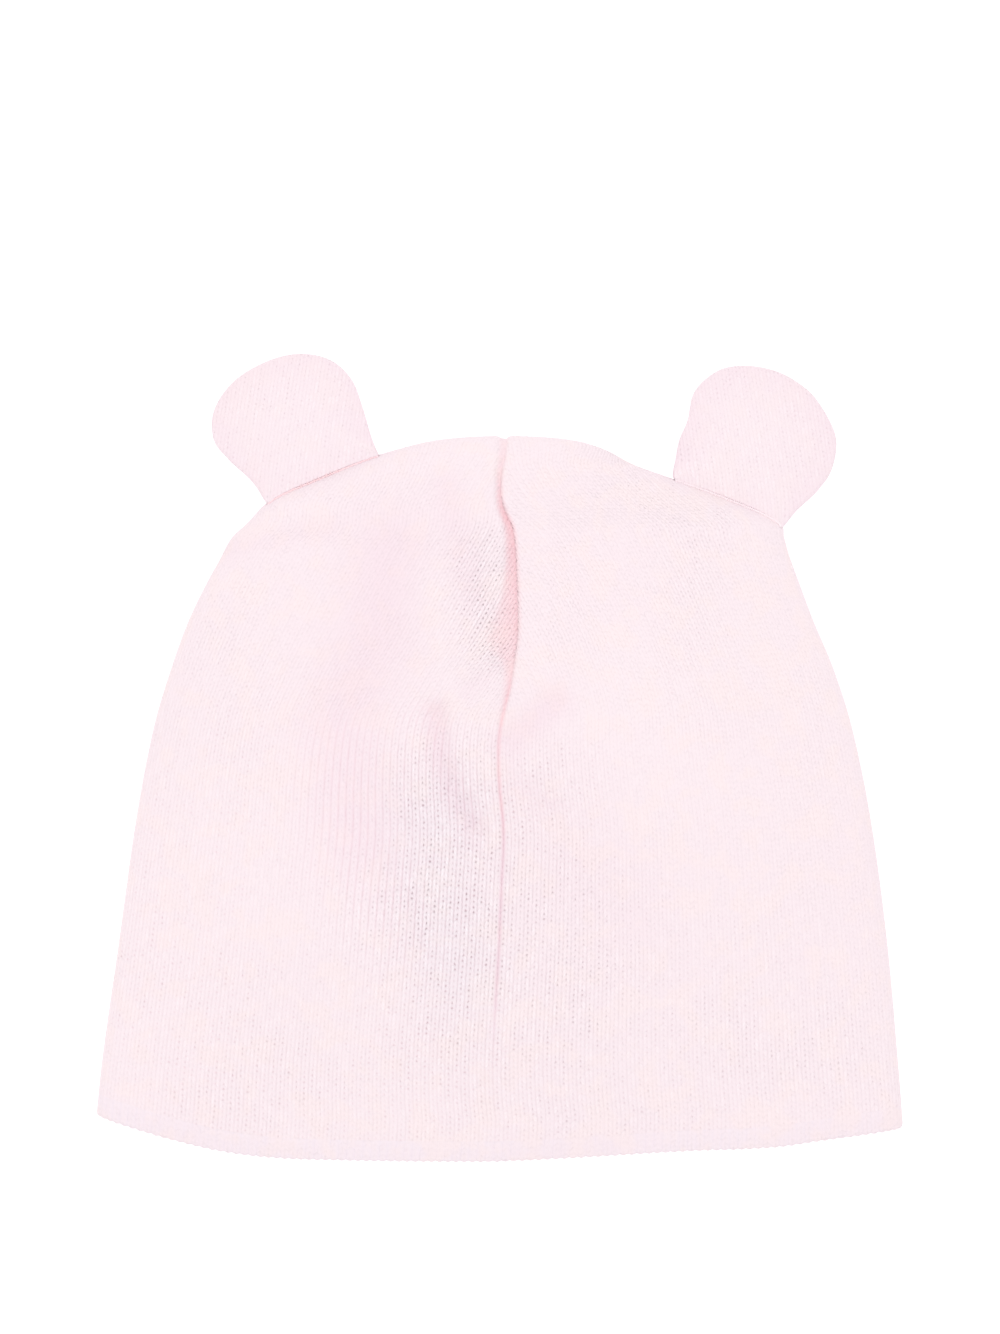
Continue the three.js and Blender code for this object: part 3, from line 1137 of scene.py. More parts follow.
@dataclass(frozen=True)
class KnitFinish:
    """Fine cotton rib: rows of stitches from the knit map, a soft sheen, slightly uneven colour, painted
    shade and painted highlights.

    The first rows are its colours, among them those of the painted shade and highlights, then come the
    heights of its relief, the shapes of its stitches, how far they show, how much of each colour and of
    the painted shade and highlights there is, and the scales and steps of its noise patterns.
    """

    name: str
    colour: Colour
    # The saturated pink of the painted shade in the tuck and on the seam's groove
    deep: Colour
    tint: Colour
    # Painted shade in the stitches' holes and in the grooves between ribs
    pit_shade: Colour = (0.8, 0.44, 0.51, 1)
    # Painted highlight on the ribs' crests, the stitches' legs and a few glints
    pale: Colour = (0.99, 0.92, 0.95, 1)
    peach: Colour = (0.905, 0.765, 0.765, 1)
    # Painted shade in the dents and along the seam's lower part
    shadow: Colour = (0.8, 0.55, 0.66, 1)
    cool: Colour = (0.978, 0.995, 1.005, 1)
    # The hem's paler lilac tone, also used for painted shade in the grooves between its ribs
    hem: Colour = (0.84, 0.755, 0.84, 1)

    groove: float = 0.08 * MM
    stitch: float = 0.16 * MM
    eyelet: float = 0.3 * MM
    fuzz: float = 0.03 * MM
    uneven_stitch: float = 0.3
    least_stitch: float = 0.5

    groove_sharpness: float = 5.0
    spine: float = 0.35
    spine_sharpness: float = 4.0
    slant: float = 0.6
    least_leg: float = 0.3
    hole_sharpness: float = 2.5
    glint_sharpness: float = 4.0
    least_firm: float = 0.3
    hem_courses: float = NO_HEM

    mapped_clear: float = 0.95
    worn_clear: float = 0.2
    least_clear: float = 0.07
    speckle: float = 1.3
    speckle_sharpness: float = 3.5
    plain_eyelets: float = 0.2

    # How strong the painted shade is in holes, grooves, between ribs, at the hem and from the maps, and how
    # strong the painted highlights are; the tints and peach are the yarn's uneven tone
    shade: float = 0.9
    groove_shade: float = 0.4
    band_shade: float = 0.4
    band_sharpness: float = 3.0
    crest_highlight: float = 0.5
    crest_sharpness: float = 2.0
    hem_shade: float = 0.5
    least_hem: float = 0.5
    hollow_shade: float = 0.2
    stitch_tint: float = 0.3
    cloud_tint: float = 0.5
    mottle_peach: float = 0.5
    leg_highlight: float = 0.19
    glint_highlight: float = 0.65

    wear_scale: float = 45.0
    wear_detail: float = 3.0
    wear_step: tuple[float, float] = (0.35, 0.7)
    cloud_scale: float = 16.0
    cloud_step: tuple[float, float] = (0.3, 0.75)
    mottle_scale: float = 160.0
    mottle_step: tuple[float, float] = (0.45, 0.65)
    fibre_scale: float = 2600.0
    roughness: float = 0.95
    specular: float = 0.2
    sheen: float = 0.05
    sheen_roughness: float = 0.5

    def shown(self, sheet: NodeSheet, at_hem: Socket) -> Socket:
        """Gives how far the stitches show, by the wear map and a soft unevenness.

        Args:
            sheet: The material's nodes.
            at_hem: 1 where the hem hides them.

        Returns:
            A share, which may pass 1.
        """
        clear, _ = sheet.pair("wear")
        wear = sheet.ramp(sheet.noise(sheet.place(), self.wear_scale, self.wear_detail), *self.wear_step)
        worn = sheet.scaled(wear, self.worn_clear, self.least_clear)
        return sheet.times(sheet.scaled(clear, self.mapped_clear, worn), sheet.rest(at_hem))

    def stitches(self, sheet: NodeSheet) -> Stitches:
        """Adds the nodes that draw the knit along the knit map's ribs and courses.

        Args:
            sheet: The material's nodes.

        Returns:
            The knit's patterns.
        """
        rib, course = sheet.pair("knit")
        at_hem = sheet.rest(sheet.math("GREATER_THAN", course, self.hem_courses))
        shown = self.shown(sheet, at_hem)
        from_middle = sheet.math("ABSOLUTE", sheet.math("SUBTRACT", sheet.math("FRACT", rib), 0.5))
        side = sheet.times(from_middle, 2.0)
        middle = sheet.rest(side)

        # Each rib's stitches start at another height
        number = sheet.math("FLOOR", rib)
        start = sheet.node("ShaderNodeTexWhiteNoise", {"W": number}, noise_dimensions="1D")
        lift = sheet.math("ADD", start.outputs["Value"], course)
        slanted = sheet.scaled(side, self.slant, lift)

        # Each leg of each stitch has its own chance values
        place = {"X": sheet.math("FLOOR", sheet.times(rib, 2.0)), "Y": sheet.math("FLOOR", slanted)}
        cell = {"Vector": sheet.node("ShaderNodeCombineXYZ", place).outputs[0]}
        chance = sheet.node("ShaderNodeTexWhiteNoise", cell, noise_dimensions="2D")
        luck, glint, firm = sheet.split(chance.outputs["Color"])
        firm = sheet.scaled(firm, 1 - self.least_firm, self.least_firm)

        leg = sheet.math("SINE", sheet.times(side, math.pi))
        legs = sheet.times(leg, sheet.scaled(sheet.wave(slanted), 1 - self.least_leg, self.least_leg))
        holes = sheet.power(sheet.wave(lift), self.hole_sharpness)
        eyelets = sheet.times(sheet.power(middle, self.hole_sharpness), holes)
        speckle = sheet.times(sheet.power(luck, self.speckle_sharpness), sheet.times(shown, self.speckle))
        eyelets = sheet.times(eyelets, sheet.scaled(shown, self.plain_eyelets, speckle))
        spine = sheet.times(sheet.power(middle, self.spine_sharpness), self.spine)
        groove = sheet.math("ADD", sheet.power(side, self.groove_sharpness), spine)
        return Stitches(
            side=side,
            groove=sheet.times(groove, firm),
            legs=legs,
            eyelets=eyelets,
            luck=luck,
            glint=sheet.power(glint, self.glint_sharpness),
            firm=firm,
            at_hem=at_hem,
            shown=shown,
        )

    def relief(self, sheet: NodeSheet, knit: Stitches) -> Socket:
        """Adds the relief of the stitches and of the fibre.

        Args:
            sheet: The material's nodes.
            knit: The knit's patterns.

        Returns:
            The surface's directions.
        """
        height = sheet.times(sheet.times(knit.groove, knit.shown), -self.groove)
        share = sheet.math("MINIMUM", knit.shown, 1.0)
        soft = sheet.times(knit.legs, sheet.scaled(share, 1 - self.least_stitch, self.least_stitch))
        height = sheet.scaled(soft, self.stitch, height)
        height = sheet.scaled(knit.eyelets, -self.eyelet, height)
        height = sheet.scaled(knit.luck, self.uneven_stitch * self.stitch, height)
        height = sheet.scaled(sheet.noise(sheet.place(), self.fibre_scale), self.fuzz, height)
        return sheet.node("ShaderNodeBump", {"Strength": 1.0, "Distance": 1.0, "Height": height}).outputs[0]

    def dyed(self, sheet: NodeSheet, knit: Stitches) -> Socket:
        """Adds the colours: painted shade in the pits and the hem's grooves, the uneven colour, painted
        highlights, and the maps' painted shade and cool cast.

        Args:
            sheet: The material's nodes.
            knit: The knit's patterns.

        Returns:
            The colour.
        """
        ribbed, _ = sheet.pair("ribbing")
        painted_dent_and_seam_shade, cool = sheet.pair("shade_and_cool")
        _, flush = sheet.pair("wear")
        # Painted shade in the grooves, in the stitches' holes and between the ribs where they stand out,
        # and painted highlight on their crests
        raised = sheet.times(knit.firm, ribbed)
        between = sheet.times(sheet.power(knit.side, self.band_sharpness), raised)
        painted_crest_light = sheet.times(sheet.power(sheet.rest(knit.side), self.crest_sharpness), raised)
        painted_pit_and_groove_shade = sheet.scaled(sheet.times(knit.groove, knit.shown), self.groove_shade, knit.eyelets)
        painted_pit_and_groove_shade = sheet.scaled(between, self.band_shade, painted_pit_and_groove_shade)
        colour = sheet.blend(sheet.times(painted_pit_and_groove_shade, self.shade), self.colour, self.pit_shade)
        # The hem's lilac tone, with painted shade deeper in the grooves between its ribs
        rolled = sheet.scaled(sheet.power(knit.side, 2.0), 1 - self.least_hem, self.least_hem)
        hem = sheet.times(knit.at_hem, rolled)
        colour = sheet.blend(sheet.times(hem, self.hem_shade), colour, self.hem)

        cloud = sheet.ramp(sheet.noise(sheet.place(), self.cloud_scale), *self.cloud_step)
        uneven = sheet.scaled(knit.luck, self.stitch_tint, sheet.times(cloud, self.cloud_tint))
        colour = sheet.blend(uneven, colour, self.tint)
        mottle = sheet.ramp(sheet.noise(sheet.place(), self.mottle_scale), *self.mottle_step)
        colour = sheet.blend(sheet.times(mottle, self.mottle_peach), colour, self.peach)
        # Painted highlights on the ribs' crests, on the stitches' legs and on a few glinting stitches
        glint = sheet.times(sheet.scaled(knit.glint, self.glint_highlight, self.leg_highlight), knit.shown)
        light = sheet.scaled(painted_crest_light, self.crest_highlight, sheet.times(knit.legs, glint))
        colour = sheet.blend(light, colour, self.pale)

        # Painted shade of the dents and the seam's lower part, then the deeper pink of the painted shade in
        # the tuck and the seam's groove, then the cool cast
        colour = sheet.blend(sheet.times(painted_dent_and_seam_shade, self.hollow_shade), colour, self.shadow)
        colour = sheet.blend(sheet.times(flush, self.hollow_shade), colour, self.deep)
        return sheet.blend(cool, colour, sheet.blend(1.0, colour, self.cool, Mixing.TIMES))

    def material(self) -> bpy.types.Material:
        """Builds the material.

        Returns:
            A node material that reads the piece's four maps, of the knit, of painted shade and cool cast,
            of how far the stitches show with painted crease shade, and of ribbing, and its Object
            coordinates.
        """
        made, sheet = blank_material(self.name)
        knit = self.stitches(sheet)
        inputs = {
            "Base Color": self.dyed(sheet, knit),
            "Normal": self.relief(sheet, knit),
            "Roughness": self.roughness,
            "Specular IOR Level": self.specular,
            "Sheen Weight": self.sheen,
            "Sheen Roughness": self.sheen_roughness,
        }
        sheet.surface(inputs)
        return made


BODY_FINISH = KnitFinish(
    name="hat_rib",
    colour=(0.884, 0.769, 0.803, 1),
    deep=(0.94, 0.4, 0.43, 1),
    tint=(0.87, 0.745, 0.788, 1),
    hem_courses=3.2,
)
EAR_FINISH = KnitFinish(
    name="ear_rib",
    colour=(0.868, 0.755, 0.787, 1),
    deep=(0.93, 0.54, 0.58, 1),
    tint=(0.858, 0.73, 0.782, 1),
    peach=(0.875, 0.75, 0.767, 1),
    groove=0.02 * MM,
    stitch=0.10 * MM,
    eyelet=0.2 * MM,
    shade=0.6,
)


@dataclass(frozen=True)
class ThreadFinish:
    """The deeper pink of the sewing thread, with a fine twist along it."""

    name: str = "seam_thread"
    colour: Colour = (0.96, 0.72, 0.74, 1)
    pale: Colour = (0.97, 0.8, 0.82, 1)
    twist_scale: float = 1800.0
    roughness: float = 0.9

    def material(self) -> bpy.types.Material:
        """Builds the material.

        Returns:
            A node material that reads the piece's Object coordinates.
        """
        made, sheet = blank_material(self.name)
        twist = sheet.noise(sheet.place(), self.twist_scale)
        colour = sheet.blend(twist, self.colour, self.pale)
        sheet.surface({"Base Color": colour, "Roughness": self.roughness})
        return made


PINK_THREAD = ThreadFinish()
PALE_THREAD = ThreadFinish("pale_thread", (0.92, 0.8, 0.83, 1), (0.92, 0.83, 0.86, 1))


# Sub-assemblies


class Columns(NamedTuple):
    """The shell's columns, in order round the hat.

    Attributes:
        rib: Each column's rib, counted from the middle of its quarter.
        side: The sign of its side.
        is_back: Whether it is on the back.
        around: Its place on the knit map, in ribs from the back seam.
    """

    rib: Array
    side: Array
    is_back: Array
    around: Array


class Skin(NamedTuple):
    """One skin of the shell, by row and column.

    Attributes:
        rib: Each point's rib.
        row: Its place on the row scale.
        lap: Its place round the hat.
        side: The sign of its side.
        way: How far it lies along its rib from the hem.
        point: The point itself.
        outward: The skin's direction there.
    """

    rib: Array
    row: Array
    lap: Array
    side: Array
    way: Array
    point: Array
    outward: Array


@dataclass
class KnitShell:
    """The rib fabric of the hat: outer skin, rolled hem and inner skin, as one closed shell.

    Its columns follow the ribs, from the hem to the seam that cuts each of them off.
    """

    form: HatForm
    middle_ribs: int = 20
    back_columns: int = 5
    front_columns: int = 3
    side_columns: int = 4
    skin_rows: int = 110
    hem_rows: int = 6
    lining_rows: int = 30
    row_steps: tuple[float, float, float, float] = (0.0, 0.2, 0.76, 1.0)
    row_places: tuple[float, float] = (0.378, 0.7)
    course: float = 1.32 * MM
    rib_relief: float = 0.11 * MM
    rib_fullness: float = 0.8
    faint_relief: float = 0.45
    groove_depth: float = 0.55 * MM
    groove_reach: float = 0.38 * MM
    selvedge_height: float = 0.22 * MM
    selvedge_centre: float = 1.15 * MM
    selvedge_reach: float = 0.75 * MM
    selvedge_swap: tuple[float, float] = (14 * MM, 22 * MM)
    left_selvedge: float = 0.8
    smooth_spread: float = 1.3
    hem_relief: float = 0.32 * MM
    hem_band: float = 4 * MM
    measured_rows: int = 200
    measured_end: float = 0.6

    def columns(self) -> Columns:
        """Lays out the columns, more of them to a rib on the back than on the front.

        Returns:
            The columns, from the back seam over the right and the left side back to it.
        """
        total, middle = self.form.ribs, self.middle_ribs
        flank = middle + np.arange((total - middle) * self.side_columns) / self.side_columns
        back = np.concatenate([np.arange(middle * self.back_columns) / self.back_columns, flank])
        front = np.concatenate([np.arange(middle * self.front_columns) / self.front_columns, flank])
        rib = np.concatenate([back, [total], front[:0:-1], front, [total], back[:0:-1], [0.0]])
        number = np.arange(rib.size)
        is_left = number >= back.size + front.size
        is_back = (number < back.size) | (number >= back.size + 2 * front.size)
        way = np.where(is_back, rib, 2 * total - rib)
        return Columns(rib, np.where(is_left, -1.0, 1.0), is_back, np.where(is_left, 4 * total - way, way))

    def skin(self, surface: Surface, count: int) -> Skin:
        """Lays rows across every rib, up to the seam that cuts it off.

        Args:
            surface: The form's surface that the skin lies on.
            count: How many rows of faces the skin has.

        Returns:
            The skin, from the hem up.
        """
        rib, side, is_back, _ = self.columns()
        start = place_of(self.form.wall / 2 / self.form.length)
        end = np.maximum(self.form.rib_end(rib, is_back), start)
        levels = np.interp(np.linspace(0, 1, count + 1), self.row_steps, [start, *self.row_places, 1.0])
        row = np.minimum(levels[:, None], end[None])
        rib, side, is_back = (np.broadcast_to(values, row.shape) for values in (rib, side, is_back))
        lap = self.form.rib_lap(rib, row, is_back)
        point = surface(row, lap, side)
        steps = np.linalg.norm(np.diff(point, axis=0), axis=-1)
        way = np.concatenate([np.zeros((1, row.shape[1])), np.cumsum(steps, axis=0)])
        return Skin(rib, row, lap, side, way, point, self.form.normals(surface, row, lap, side))

    def relief(self, skin: Skin) -> Array:
        """Gives how far the ribs and the back seam stand out of the smooth cloth.

        Args:
            skin: The outer skin.

        Returns:
            A height for each point, negative in the seam's groove.
        """
        form = self.form
        at_hem = 1 - ease(skin.way, 0, self.hem_band)
        shown = mix(self.faint_relief, 1.0, form.clear(skin.point)) + form.strength(skin.point, RIBBED)
        depth = mix(self.rib_relief * shown, self.hem_relief, at_hem)
        ribs = depth * rib_wave(skin.rib, self.rib_fullness)
        up = up_of(skin.row)
        reach = form.half * np.abs(TableCurve(OUTLINE, "left")(up))
        off = np.abs(skin.lap) * reach * skin.side
        swap = ease(skin.point[..., 1], *self.selvedge_swap)
        centre = mix(-self.left_selvedge * self.selvedge_centre, self.selvedge_centre, swap)
        smooth_band = trough(off - centre, self.selvedge_reach * self.smooth_spread)
        groove = trough(off, self.groove_reach)
        plain = ribs * (1 - np.clip(smooth_band + groove, 0, 1))
        seam = self.selvedge_height * trough(off - centre, self.selvedge_reach) - self.groove_depth * groove
        below_tuck = 1 - ease(up, *form.seam_end)
        firm = mix(form.faint_seam, 1.0, ease(up, *form.seam_start))
        return np.where(np.abs(skin.lap) <= 1, plain + seam * below_tuck * firm, ribs)

    def hem(self, outer: Skin, inner: Skin, relief: Array, turns: Sequence[float]) -> Array:
        """Rolls the hem from the inner skin to the outer one in half a circle.

        Args:
            outer: The outer skin, from the hem up.
            inner: The inner skin, from the crown down.
            relief: How far the ribs stand out at each column.
            turns: The angles of its rows, from half a turn towards 0 on the outer skin.

        Returns:
            Its points, by row and column.
        """
        first, last = outer.point[0], inner.point[-1]
        middle, half = (first + last) / 2, (first - last) / 2
        radius = np.linalg.norm(half, axis=-1, keepdims=True)
        ahead = unit(self.form.skin(outer.row[0] + STEP, outer.lap[0], outer.side[0]) - first)
        rows = []
        for turn in turns:
            way = math.cos(turn) * half / radius - math.sin(turn) * ahead
            rows.append(middle + way * (radius + relief[:, None]))
        return np.array(rows)

    def maps(self, points: Array, way: Array, on_back: Array) -> dict[str, Array]:
        """Gives the shell's maps.

        Args:
            points: The shell's points, by row and column.
            way: How far each of them lies along its rib, negative on the inside.
            on_back: Whether it is on the outside of the back.

        Returns:
            Pairs of values by the name of their map: ribs and courses, the painted shade of the dents and
                the
            seam's lower part and the cool cast, how far the stitches show and the painted shade of the tuck
            and the seam's groove, and how far the ribs show, twice.
        """
        form = self.form
        around = np.broadcast_to(self.columns().around, way.shape)
        ribbed = form.strength(points, RIBBED)
        # The first map holds the painted shade of the dents and the seam's lower part, and the cool cast;
        # the second holds how far the stitches show, and the painted shade of the tuck and the seam's
        # groove
        pairs = {
            "shade_and_cool": [form.shade(points), form.strength(points, COOL)],
            "wear": [form.clear(points), form.flush(points)],
            "ribbing": [ribbed, ribbed],
        }
        shades = {name: np.stack(pair, axis=-1) * on_back[..., None] for name, pair in pairs.items()}
        return {"knit": np.stack([around, way / self.course], axis=-1), **shades}

    def build(self) -> bpy.types.Mesh:
        """Builds the shell's mesh.

        Returns:
            The mesh, in the row frame.
        """
        outer = self.skin(self.form.skin, self.skin_rows)
        inner = Skin(*(values[::-1] for values in self.skin(self.form.lining, self.lining_rows)))
        relief = self.relief(outer)
        crest = self.rib_relief * rib_wave(inner.rib, self.rib_fullness)
        turns = [math.pi * k / self.hem_rows for k in range(self.hem_rows - 1, 0, -1)]
        hem = self.hem(outer, inner, relief[0], turns)
        outside = outer.point + outer.outward * relief[..., None]
        points = np.concatenate([inner.point - inner.outward * crest[..., None], hem, outside])

        radius = self.form.wall / 2
        hem_way = np.broadcast_to(-radius * np.array(turns)[:, None], hem.shape[:2])
        way = np.concatenate([-inner.way - radius * math.pi, hem_way, outer.way])
        on_back = np.zeros(way.shape)
        on_back[-len(outer.lap) :] = np.abs(outer.lap) <= 1
        maps = self.maps(points, way, on_back)
        points[..., 2] = np.maximum(points[..., 2], 0)
        mesh = lattice("knit_shell", points.shape[1] - 1, points.shape[0] - 1)
        wrap(mesh, points + self.shift(outer.point), maps)
        return mesh

    def shift(self, points: Array) -> Array:
        """Gives the way from the form's own origin to the row frame's, by the CAD solid's box.

        Args:
            points: Points of the outer skin, its widest ones among them.

        Returns:
            The way, as a vector.
        """
        low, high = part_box("knit_body")
        across = points[..., 0]
        return np.array([(low.x + high.x) / 2 - (across.min() + across.max()) / 2, low.y, 0.0])

    def outline_shift(self) -> Array:
        """Gives the same way by the outline's lower rows alone, for what is sewn to it.

        Returns:
            The way, as a vector.
        """
        levels = np.linspace(0, self.measured_end, self.measured_rows)
        row, side = np.broadcast_arrays(levels[:, None], self.columns().side)
        return self.shift(self.form.skin(row, np.ones(row.shape), side))

    def place(self) -> bpy.types.Object:
        """Builds the shell, dresses it and puts it on the frame.

        Returns:
            The shell.
        """
        piece = show(self.build(), BODY_FINISH.material())
        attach(piece, ROOT)
        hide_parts("knit_body")
        return piece


@dataclass
class Ear:
    """A small round ear, sewn into the top seam: two layers of knit that close at a soft edge.

    Its seam runs on the hat's outline between two shares of the length, outer_up and inner_up.
    """

    form: HatForm
    side: Side
    outer_up: float
    inner_up: float
    bends: Sequence[Bend]
    shift: Array
    cloth: BVHTree
    width: float = 36 * MM
    length: float = 32 * MM
    thickness: float = 4.4 * MM
    edge: float = 1.8 * MM
    clearance: float = 0.3 * MM
    gap: float = 0.3 * MM
    heart: float = 0.5
    droop: tuple[float, float] = (-0.1, 1.0)
    puff: float = 1.2
    around: int = 300
    seam_steps: int = 9
    bend_steps: int = 40
    top_rows: int = 44
    edge_rows: int = 6
    under_rows: int = 20
    root_lift: float = 1.2 * MM
    root_edge: float = 3.6 * MM
    root_inset: float = 0.45 * MM
    root_reach: float = 5 * MM
    root_gap: float = 0.15 * MM
    root_power: int = 6
    overlap: float = 2.4 * MM
    overlap_steps: int = 25
    above_hat: float = 100 * MM
    # Painted shade that grows towards the ear's free rim
    rim_shade: float = 0.6
    rim_power: float = 2.5
    clear: float = 0.3
    rib_pitch: float = 1.75 * MM
    rib_relief: float = 0.04 * MM
    rib_fullness: float = 1.0
    rib_turn: float = 8.0
    plain_rim_power: int = 8
    course: float = 1.2 * MM
    thread: ThreadFinish = PINK_THREAD
    thread_steps: int = 64
    thread_sink: float = 0.4 * MM
    thread_width: float = 0.24 * MM
    thread_length: float = 0.36 * MM
    stitch_count: int = 7
    stitch_reach: tuple[float, float] = (0.36, 0.68)
    stitch_leans: tuple[float, float] = (-0.25, 0.35)
    stitch_size: tuple[float, float, float] = (0.7 * MM, 0.13 * MM, 0.16 * MM)
    stitch_lift: float = 0.05 * MM
    bead_sides: int = 8
    bead_rings: int = 6

    def neck(self, up: Array) -> Array:
        """Gives points of the hat's outline in plan.

        Args:
            up: Shares of the length.

        Returns:
            A point for each of them.
        """
        up = np.asarray(up, float)
        signs = np.full(up.shape, self.side.value)
        return np.stack([self.form.outline(signs, up), up * self.form.length], axis=-1)

    def axes(self) -> tuple[Array, Array, Array]:
        """Gives the ear's own axes in plan.

        Returns:
            The middle of its seam, the way along it and the way out from it.
        """
        outer, inner = self.neck(self.outer_up), self.neck(self.inner_up)
        along = unit(inner - outer)
        out = np.array([-along[1], along[0]]) * -self.side.value
        return (outer + inner) / 2, along, out

    def outline(self) -> Array:
        """Gives the ear's outline in plan: its seam and then its free edge.

        Returns:
            Evenly spaced points, in order.
        """
        middle, along, out = self.axes()
        seam = self.neck(np.linspace(self.inner_up, self.outer_up, self.seam_steps)) + out * self.gap
        free = [middle + along * b.along * self.width + out * b.out * self.length for b in self.bends]
        loop = np.vstack([seam[:-1], self.spline(np.vstack([seam[-1], *free, seam[0]]), self.bend_steps)])
        steps = np.linalg.norm(np.diff(loop, axis=0), axis=1)
        way = np.concatenate([[0], np.cumsum(steps)])
        at = np.linspace(0, way[-1], self.around + 1)
        return np.stack([np.interp(at, way, loop[:, k]) for k in range(2)], axis=1)

    @staticmethod
    def spline(knots: Array, steps: int) -> Array:
        """Gives points of a smooth curve through knots.

        Args:
            knots: The knots, in order.
            steps: How many steps there are between two of them.

        Returns:
            The points, in order.
        """
        ends = np.vstack([knots[0], knots, knots[-1]])
        t = np.linspace(0, 1, steps, endpoint=False)[:, None]
        parts = []
        for k in range(len(knots) - 1):
            before, start, end, after = ends[k : k + 4]
            first, last = (end - before) / 2, (after - start) / 2
            cubic = 2 * start - 2 * end + first + last
            square = -3 * start + 3 * end - 2 * first - last
            parts.append(cubic * t**3 + square * t**2 + first * t + start)
        return np.vstack([*parts, knots[-1:]])

    def height(self, spot: Array) -> Array:
        """Gives the height of the ear's middle layer, which droops from the fold to the surface.

        Args:
            spot: Points in plan.

        Returns:
            A height for each of them.
        """
        middle, _, out = self.axes()
        share = (spot - middle) @ out / self.length
        root = float(self.form.fold(np.array((self.outer_up + self.inner_up) / 2))) + self.root_lift
        return mix(root, self.clearance + self.edge / 2, ease(share, *self.droop))

    def flank(self, spot: Array) -> tuple[Array, Array]:
        """Measures how the hat rises inside points of its outline.

        Args:
            spot: Points of the outline, in plan.

        Returns:
            Ways in from the outline, and the hat's height at each of them for each point.
        """
        _, _, out = self.axes()
        ways = np.linspace(0, self.overlap, self.overlap_steps)
        heights = np.zeros((len(spot), ways.size))
        for i, point in enumerate(spot + self.shift[:2]):
            for j, way in enumerate(ways):
                x, y = point - out * way
                hit = self.cloth.ray_cast(Vector((x, y, self.above_hat)), Vector((0, 0, -1)))[0]
                heights[i, j] = hit.z if hit else 0.0
        return ways, np.maximum.accumulate(heights, axis=1)

    def lean(self, ways: Array, heights: Array, level: Array) -> Array:
        """Gives how far in from the outline the hat reaches a level, at each measured point."""
        return np.array([np.interp(z, row, ways) for z, row in zip(level, heights)])

    def knit(self, spot: Array) -> Array:
        """Gives the ribs and courses of the ear.

        Args:
            spot: Points in plan.

        Returns:
            Both numbers for each of them.
        """
        turn = math.radians(self.rib_turn) * self.side.value
        x, y = spot[..., 0], spot[..., 1]
        rib = (x * math.cos(turn) + y * math.sin(turn)) / self.rib_pitch
        course = (y * math.cos(turn) - x * math.sin(turn)) / self.course
        return np.stack([rib, course], axis=-1)

    def relief(self, spot: Array) -> Array:
        """Gives the ribs' height at points in plan."""
        return self.rib_relief * rib_wave(self.knit(spot)[..., 0], self.rib_fullness)

    def build(self) -> bpy.types.Mesh:
        """Builds the ear's mesh, from the middle of its top over its edge to the middle of its underside.

        Returns:
            The mesh, in the row frame.
        """
        middle, _, out = self.axes()
        centre = middle + out * self.length * self.heart
        loop = self.outline()
        near = 1 - ease((loop - middle) @ out, self.gap, self.root_reach)
        edge = mix(self.edge, self.root_edge, near) / 2
        inset = unit(centre - loop) * mix(self.edge / 2, self.root_inset, near)[:, None]
        rim = loop + inset
        ways, heights = self.flank(loop - out * self.gap)
        rows = []
        spots = []
        painted_rim_shade = []

        def add(spot: Array, z: Array, share: float) -> None:
            """Adds a ring, drawn to the hat's flank where it is near the seam.

            Args:
                spot: The ring's points in plan.
                z: Their heights.
                share: How far the ring lies from the ear's middle, as a share.
            """
            way = self.lean(ways, heights, z) + self.gap - self.root_gap
            pull = near * share**self.root_power * np.maximum(way, 0)
            rows.append(np.column_stack([spot - out * pull[:, None], z]))
            spots.append(spot)
            # Painted shade, stronger towards the free rim and none at the seam
            painted_rim_shade.append(np.full(len(spot), share**self.rim_power) * (1 - near))

        def layer(share: float, sign: int) -> None:
            """Adds a ring of the top or of the underside.

            Args:
                share: How far the ring lies from the ear's middle, as a share.
                sign: 1 for the top and -1 for the underside.
            """
            spot = mix(centre, rim, share)
            thick = edge + (self.thickness / 2 - edge) * (1 - share**2) ** self.puff
            height = np.maximum(self.height(spot), self.clearance + thick)
            fade = 1 - share**self.plain_rim_power
            add(spot, height + sign * (thick + self.relief(spot) * fade), share)

        for k in range(self.top_rows + 1):
            layer(math.sin(math.pi / 2 * k / self.top_rows), 1)
        level = np.maximum(self.height(rim), self.clearance + edge)
        for k in range(1, self.edge_rows):
            turn = math.pi * k / self.edge_rows
            add(rim - inset * math.sin(turn), level + math.cos(turn) * edge, 1.0)
        for k in range(self.under_rows, -1, -1):
            layer(math.sin(math.pi / 2 * k / self.under_rows), -1)

        mesh = lattice(f"ear_pad_{self.side.name.lower()}", self.around, len(rows) - 1)
        knit = self.knit(np.array(spots))
        # The first map holds the painted rim shade and no cool cast; the wear map shows the stitches a
        # little and holds no painted crease shade
        shade_and_cool = np.stack([self.rim_shade * np.array(painted_rim_shade), np.zeros(knit.shape[:2])], axis=-1)
        maps = {"knit": knit, "shade_and_cool": shade_and_cool, "wear": np.full(knit.shape, [self.clear, 0.0])}
        wrap(mesh, np.array(rows) + self.shift, maps)
        return mesh

    def seam_points(self) -> Array:
        """Gives points along the ear's seam, between the ear and the hat.

        Returns:
            The points, in the row frame.
        """
        _, _, out = self.axes()
        spot = self.neck(np.linspace(self.outer_up, self.inner_up, self.thread_steps))
        level = self.height(spot) + self.root_edge / 2 - self.thread_sink
        way = self.lean(*self.flank(spot), level)
        return np.column_stack([spot - out * (way - self.root_gap)[:, None], level]) + self.shift

